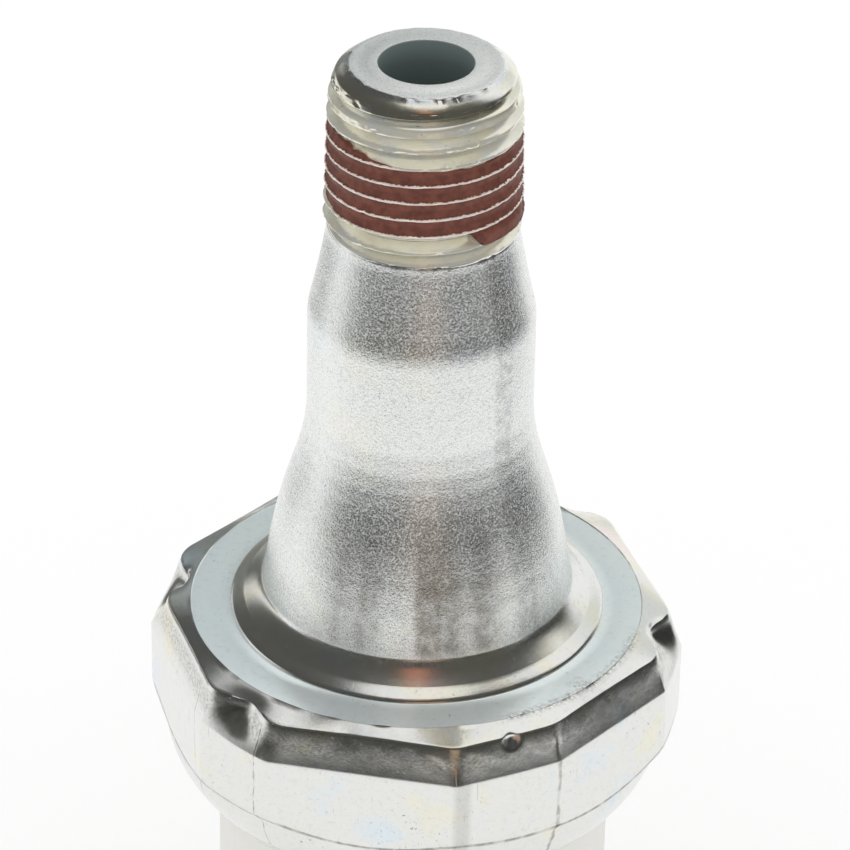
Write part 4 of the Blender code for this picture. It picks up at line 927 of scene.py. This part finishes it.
def wear_and_shade_masks(place, below, radius, degrees, regions):
    """How much dirt and painted shade lie on a place, and whether it is scuffed or pitted."""
    drift = speckle(place, 0.8 * MM, 2, 0.6) - 0.5
    patchy = speckle(place, 0.7 * MM, 3, 0.6).between(0.3, 0.6)
    rubs = speckle(place, 0.16 * MM, 3, 0.7).between(0.38, 0.70)
    # Painted shade along the foot of the flats, where the wall meets the skirt, then the dark lines down the
    # corners
    foot_shade_and_seams = stroke(below + radius, FOOT_LINE, 0.02, 0.09) * below.between(38.0, 38.3) * (0.2 + 0.5 * patchy)
    for centre, wander, half, soft, clean, dirty in SEAMS:
        foot_shade_and_seams = foot_shade_and_seams + stroke(degrees + drift * wander, centre, half, soft) * (clean + dirty * patchy)
    # Painted shade: a thin dark line under the disc's burr, on the front only
    burr = regions["top"] * stroke(radius, 12.03, 0.03, 0.04) * stroke(degrees, 10, 45, 25)
    scuff = stroke(radius, 11.95, 0.1, 0.4) * stroke(degrees, 49, 22, 10)
    gouge = stroke(radius, 11.5, 0.2, 0.6) * stroke(degrees, 47.5, 1.0, 3.0)
    scuffed = regions["top"] * scuff.maths("MAXIMUM", scuff, gouge) * rubs
    clusters = speckle(place, 3.5 * MM, 2, 0.5).between(0.42, 0.62)
    pits = speckle(place, 0.22 * MM, 2, 0.7).between(0.69, 0.73) * clusters
    scratches = speckle(place, 0.10 * MM, 2, 0.5, (1, 1, 0.07)).between(0.70, 0.75) * regions["wall"]
    upright = speckle_along(degrees + drift * 6, 0.055, 2.0, 0.5)
    runs = upright.between(0.36, 0.62) * stroke(degrees, -2, 26, 16) * below.between(21.5, 27.0)
    film = speckle(place, 0.35 * MM, 4, 0.7).between(0.5, 0.8)
    specks = speckle(place, 0.13 * MM, 2, 0.6).between(0.62, 0.76) * regions["wall"]
    # The sum holds dirt and wear, and the painted shade at the foot of the flats and under the burr
    dirt_and_shade = foot_shade_and_seams * regions["wall"] + scuffed * 0.55 + burr * 0.5 + pits * 0.55 + scratches * 0.35
    dirt_and_shade = dirt_and_shade + runs * regions["neck"] * (0.35 + 0.3 * patchy)
    dirt_and_shade = dirt_and_shade + regions["shoulder"] * (0.12 + 0.42 * rubs) + film * 0.16 + specks * 0.3
    return dirt_and_shade, scuffed, pits


print(len(SEAMS), "upright lines of dirt")

# %% [markdown]
# The relief carries what is too fine for the mesh: the orange peel, the disc's turning marks, scuffs
# and pits. Where the film is dull, a pure metal would only mirror the dark cards. There the shader is
# made partly plain instead of metallic: in small glints on the neck, on the disc, in the bore and on
# the bare thread. Paste and rubbed crests aren't metallic either.

# %% Shader of the housing
def housing_relief(place, radius, regions, scuffed, pits):
    peel = speckle(place, 0.15 * MM, 3, 0.75)
    wear = speckle(place, 0.8 * MM, 3, 0.6)
    lines = speckle_along(radius, 9.0, 3.0, 0.6)
    relief = peel * (0.25 + 1.9 * regions["neck"] + 1.6 * regions["end"]) * (1 - 0.8 * regions["disc"])
    relief = relief + lines * regions["disc"] * 0.25 + wear * 0.4 - scuffed * 0.3 - pits * 0.8
    return relief, wear


def zinc_finish():
    material, shader, place = new_material("zinc_plated_steel")
    z, below, radius, turn, degrees, regions = housing_masks(place)
    sealed, rubbed = sealant_masks(place, z, below, turn, degrees, regions)
    dirt_and_shade, scuffed, pits = wear_and_shade_masks(place, below, radius, degrees, regions)
    relief, wear = housing_relief(place, radius, regions, scuffed, pits)
    bare = 1 - sealed
    paste = mixed(speckle(place, 0.5 * MM, 3, 0.6).between(0.3, 0.7), SEALANT_DARK, SEALANT)
    colour = mixed(rubbed * 0.75, plating_colour(place, degrees, regions), RUBBED)
    colour = mixed(sealed, colour, paste)
    # Dirt, and painted shade at the foot of the flats and under the burr, darken the bare plating
    colour = mixed(dirt_and_shade * bare * (1 - regions["bore"]), colour, DIRT_AND_SHADE)
    rough = 0.21 + 0.05 * regions["neck"] + 0.19 * regions["end"] + 0.24 * regions["bore"]
    rough = rough + (wear - 0.5) * 0.08 + scuffed * 0.2 + sealed * 0.30
    glints = speckle(place, 0.11 * MM, 3, 0.75, (1.0, 1.1, 0.9)).between(0.49, 0.60)
    dull = regions["neck"] * (0.04 + 0.42 * glints) + regions["disc"] * 0.45 + regions["bore"] * 0.55
    dull = dull + regions["thread"] * below.between(0.9, 1.5) * 0.42
    metal = bare * (1 - dull) * (1 - rubbed * 0.5)
    shader.inputs["Specular IOR Level"].default_value = 0.3
    plug(shader, base_color=colour, metallic=metal, roughness=rough, normal=bumped(relief, 0.012 * MM))
    return material


zinc = zinc_finish()
print("the housing's finish has", len(zinc.node_tree.nodes), "nodes")

# %% [markdown]
# Now the rings are joined. Bands of faces go from the bore over the mouth to the thread, and from the
# neck down the outside and up the inner wall, with the thread's own rows between two plain rings. The
# real piece is one closed skin, and so is this mesh, which takes the place of the solid housing.

# %% Make the housing
def make_housing():
    bm = bmesh.new()
    inner = [add_ring(bm, ring, coarse_angles) for ring in inner_rings()]
    mouth = [add_ring(bm, ring, coarse_angles) for ring in mouth_rings]
    upper = add_ring(bm, plain(crest_radius(THREAD_HIGH), THREAD_HIGH), coarse_angles)
    lower = add_ring(bm, plain(crest_radius(THREAD_LOW), THREAD_LOW), coarse_angles)
    neck = [add_ring(bm, ring, coarse_angles) for ring in neck_rings]
    hexagon = [add_ring(bm, ring, fine_angles) for ring in hexagon_rings + skirt_rings()]
    above = inner[-1:] + mouth + [upper]
    below = [lower] + neck + hexagon + inner
    for chain in (above, below):
        for first, second in zip(chain, chain[1:]):
            add_band(bm, first, second)
    rows = add_thread(bm, coarse_angles, upper, lower)
    print("thread rows:", rows)
    piece = add_piece("plated_housing", bm, zinc, "case", 40)
    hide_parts("housing")
    return piece


housing = make_housing()
triangles = sum(len(face.vertices) - 2 for face in housing.data.polygons)
print("the housing has", triangles, "triangles")

# %% [markdown]
# ## The other solids
#
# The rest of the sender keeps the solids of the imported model, and each gets the finish of its own
# stuff. Strip and wire carry the long marks of the rolls and dies they went through, so their noise
# is stretched along the stock. Turned parts have rings. Each finish is named as in the record, and
# its numbers stand in a table, because one recipe serves them all.

# %% Metals
def metal_finish(name, colour, tarnish, rough, grain, depth, stretch):
    """Bare or plated metal: tarnish in patches and the fine marks of its making."""
    material, shader, place = new_material(name)
    patches = speckle(place, 1.8 * MM, 3, 0.6)
    marks = speckle(place, grain * MM, 3, 0.65, stretch)
    plug(shader, base_color=mixed(patches.between(0.38, 0.72) * 0.7, colour, tarnish),
         roughness=rough + (marks - 0.5) * 0.16 + (patches - 0.5) * 0.12, normal=bumped(marks, depth * MM))
    shader.inputs["Metallic"].default_value = 1.0
    return material


def turned_finish(name, colour, tarnish, rough):
    """Metal from a lathe, with rings about the axis on its faces and along its length."""
    material, shader, place = new_material(name)
    x, y, z = axes(place)
    square = x * x + y * y
    reach = (square.maths("SQRT", square) + z) / MM
    rings = speckle_along(reach, 14.0, 3.0, 0.6)
    patches = speckle(place, 1.2 * MM, 3, 0.6)
    plug(shader, base_color=mixed(patches.between(0.4, 0.75) * 0.7, colour, tarnish),
         roughness=rough + (rings - 0.5) * 0.15, normal=bumped(rings, 0.004 * MM))
    shader.inputs["Metallic"].default_value = 1.0
    return material


ALONG_X, ALONG_Y, ALONG_Z = (0.06, 1, 1), (1, 0.06, 1), (1, 1, 0.06)
# Each metal: colour, tarnish, roughness, grain and depth of its marks in millimetres, and the
# direction in which they run.
METALS = {
    "diaphragm_steel": ((0.66, 0.66, 0.68), (0.56, 0.57, 0.60), 0.22, 0.10, 0.003, ALONG_X),
    "ring_steel": ((0.50, 0.51, 0.53), (0.36, 0.36, 0.37), 0.34, 0.20, 0.006, None),
    "bracket_steel": ((0.56, 0.57, 0.58), (0.40, 0.40, 0.41), 0.32, 0.10, 0.004, ALONG_Y),
    "pin_steel": ((0.45, 0.46, 0.48), (0.33, 0.33, 0.34), 0.18, 0.10, 0.002, ALONG_Y),
    "lever_steel": ((0.60, 0.60, 0.57), (0.46, 0.45, 0.40), 0.30, 0.10, 0.004, ALONG_X),
    "leaf_bronze": ((0.72, 0.50, 0.30), (0.48, 0.30, 0.17), 0.26, 0.10, 0.003, ALONG_X),
    "contact_silver": ((0.85, 0.84, 0.80), (0.55, 0.52, 0.46), 0.16, 0.15, 0.002, None),
    "spring_steel": ((0.40, 0.41, 0.43), (0.26, 0.26, 0.26), 0.28, 0.12, 0.004, None),
    "rivet_brass": ((0.76, 0.60, 0.33), (0.52, 0.38, 0.18), 0.30, 0.25, 0.008, None),
    "strip_bronze": ((0.74, 0.53, 0.30), (0.50, 0.32, 0.18), 0.28, 0.10, 0.003, ALONG_Z),
    "tinned_blade": ((0.74, 0.74, 0.73), (0.60, 0.59, 0.56), 0.27, 0.10, 0.004, ALONG_Z)}
finishes = {name: metal_finish(name, *facts) for name, facts in METALS.items()}
finishes["snubber_brass"] = turned_finish("snubber_brass", (0.78, 0.57, 0.26), (0.50, 0.33, 0.14), 0.24)
finishes["screw_steel"] = turned_finish("screw_steel", (0.35, 0.34, 0.32), (0.12, 0.11, 0.10), 0.42)
print(len(finishes), "metals")

# %% [markdown]
# A small coil spring stands on the cavity's floor and pushes the lever up. The lever comes down on it
# as the pressure rises, so the spring has to get shorter. A rigid coil would cut through the lever:
# this one is a mesh of its own, which the frame presses together as the hinge turns. A curve with a
# round bevel would give the same tube, but only a mesh can be pressed, so it is built as rings of
# points along the wire. Its end turns lie flat against their neighbours.

# %% Return spring
SPRING_TURNS = 5
WIRE_RADIUS = 0.2 * MM
STEPS_A_TURN = 40
WIRE_SIDES = 10


def make_return_spring():
    low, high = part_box("return_spring")
    middle = (low + high) / 2
    reach = (high.y - low.y) / 2 - WIRE_RADIUS
    foot, head = low.z + WIRE_RADIUS, high.z - WIRE_RADIUS
    closed = 2 * WIRE_RADIUS
    bm = bmesh.new()
    rings = []
    for step in range(SPRING_TURNS * STEPS_A_TURN + 1):
        turn = step / STEPS_A_TURN
        height = float(np.interp(turn, (0, 1, SPRING_TURNS - 1, SPRING_TURNS),
                                 (foot, foot + closed, head - closed, head)))
        ring = []
        for side in range(WIRE_SIDES):
            slant = TAU * side / WIRE_SIDES
            radius = reach + WIRE_RADIUS * math.cos(slant)
            ring.append(bm.verts.new((middle.x + radius * math.cos(TAU * turn),
                                      middle.y + radius * math.sin(TAU * turn),
                                      height + WIRE_RADIUS * math.sin(slant))))
        rings.append(ring)
    for ring, following in zip(rings, rings[1:]):
        add_band(bm, ring, following)
    bm.faces.new(rings[0])
    bm.faces.new(rings[-1])
    piece = add_piece("coiled_spring", bm, finishes["spring_steel"], "case", 50)
    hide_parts("return_spring")
    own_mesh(piece)
    return piece


coiled_spring = make_return_spring()
print("the spring has", len(coiled_spring.data.vertices), "points in", SPRING_TURNS, "turns")

# %% [markdown]
# The connector body and the pusher are pale nylon, which is a little cloudy and has the fine grain of
# an eroded mould. The rubbers are matt, and the cast epoxy round the blades is dark and glossy. One
# recipe with different numbers gives them all.

# %% Plastics and rubber
def moulded_finish(name, colour, shade, rough, grain, depth, specular):
    """Plastic or rubber: a clouded colour under a skin with the grain of its mould."""
    material, shader, place = new_material(name)
    cloud = speckle(place, 3.2 * MM, 3, 0.6)
    skin = speckle(place, grain * MM, 2, 0.55)
    plug(shader, base_color=mixed(cloud.between(0.3, 0.7), shade, colour),
         roughness=rough + (cloud - 0.5) * 0.12 + (skin - 0.5) * 0.10, normal=bumped(skin, depth * MM))
    shader.inputs["Specular IOR Level"].default_value = specular
    return material


# Each stuff: colour, its shade in clouded places, roughness, grain and depth of its skin in
# millimetres, and the strength of its gloss.
MOULDED = {
    "natural_nylon": ((0.80, 0.79, 0.75), (0.785, 0.772, 0.727), 0.42, 0.09, 0.007, 0.5),
    "pusher_plastic": ((0.75, 0.72, 0.62), (0.72, 0.685, 0.58), 0.38, 0.10, 0.004, 0.5),
    "gasket_rubber": ((0.03, 0.03, 0.03), (0.018, 0.018, 0.019), 0.62, 0.14, 0.01, 0.3),
    "seal_rubber": ((0.05, 0.04, 0.04), (0.03, 0.026, 0.026), 0.56, 0.12, 0.008, 0.35),
    "potting": ((0.08, 0.06, 0.05), (0.045, 0.034, 0.03), 0.16, 0.70, 0.01, 0.5)}
for stuff, facts in MOULDED.items():
    finishes[stuff] = moulded_finish(stuff, *facts)
print(len(MOULDED), "moulded stuffs")

# %% [markdown]
# The resistor is bare wire wound on brown laminate. Its turns could be modelled one by one, but they
# are a sixth of a millimetre apart. A sine along the longest side of the winding makes them as
# ridges, with dark oxide in the grooves.

# %% Resistor
WIRE_PITCH = 0.16 * MM


def laminate_finish(name):
    """Brown card in thin layers, with short darker fibres."""
    material, shader, place = new_material(name)
    layers = speckle(place, 0.12 * MM, 2, 0.5, (0.2, 1, 0.2))
    fibres = speckle(place, 0.25 * MM, 3, 0.7, (1, 1, 0.3))
    plug(shader, base_color=mixed(fibres.between(0.4, 0.7), (0.46, 0.30, 0.14), (0.27, 0.15, 0.06)),
         roughness=0.5 + (layers - 0.5) * 0.2, normal=bumped(layers, 0.006 * MM))
    return material


def winding_finish(name):
    """Turns of bare wire along the winding, with oxide between them."""
    material, shader, place = new_material(name)
    low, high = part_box("resistance_winding")
    sides = [high[index] - low[index] for index in range(3)]
    along = axes(place)[sides.index(max(sides))] * (TAU / WIRE_PITCH)
    turns = along.maths("SINE", along) * 0.5 + 0.5
    oxide = speckle(place, 0.6 * MM, 3, 0.6)
    plug(shader, base_color=mixed(turns * (0.5 + 0.5 * oxide), (0.16, 0.14, 0.12), (0.56, 0.51, 0.46)),
         roughness=0.45 - 0.12 * turns, normal=bumped(turns, 0.05 * MM))
    shader.inputs["Metallic"].default_value = 1.0
    return material


finishes["card_laminate"] = laminate_finish("card_laminate")
finishes["resistance_wire"] = winding_finish("resistance_wire")
print(f"the wire's turns are {WIRE_PITCH / MM:.2f} mm apart")

# %% [markdown]
# Last, each solid gets its finish. Only its material is changed, because its mesh belongs to the
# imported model. The housing and the spring aren't in the list, as meshes of this script stand for them.

# %% Finishes of the solids
SOLIDS = {
    "snubber": "snubber_brass", "diaphragm_gasket": "gasket_rubber", "diaphragm": "diaphragm_steel",
    "clamp_ring": "ring_steel", "pusher": "pusher_plastic", "mechanism_bracket": "bracket_steel",
    "pivot_pin": "pin_steel", "wiper_lever": "lever_steel", "calibration_screw": "screw_steel",
    "wiper_leaf": "leaf_bronze", "leaf_rivet_front": "rivet_brass", "leaf_rivet_back": "rivet_brass",
    "wiper_contact": "contact_silver", "resistor_card": "card_laminate",
    "resistance_winding": "resistance_wire", "signal_strip": "strip_bronze",
    "ground_spring": "strip_bronze", "signal_blade": "tinned_blade", "ground_blade": "tinned_blade",
    "blade_seal_signal": "potting", "blade_seal_ground": "potting", "weather_seal": "seal_rubber",
    "connector_body": "natural_nylon"}
for node_name, finish_name in SOLIDS.items():
    nodes[node_name].data.materials.clear()
    nodes[node_name].data.materials.append(finishes[finish_name])
print(len(SOLIDS), "of", len(nodes), "solids have their finish")
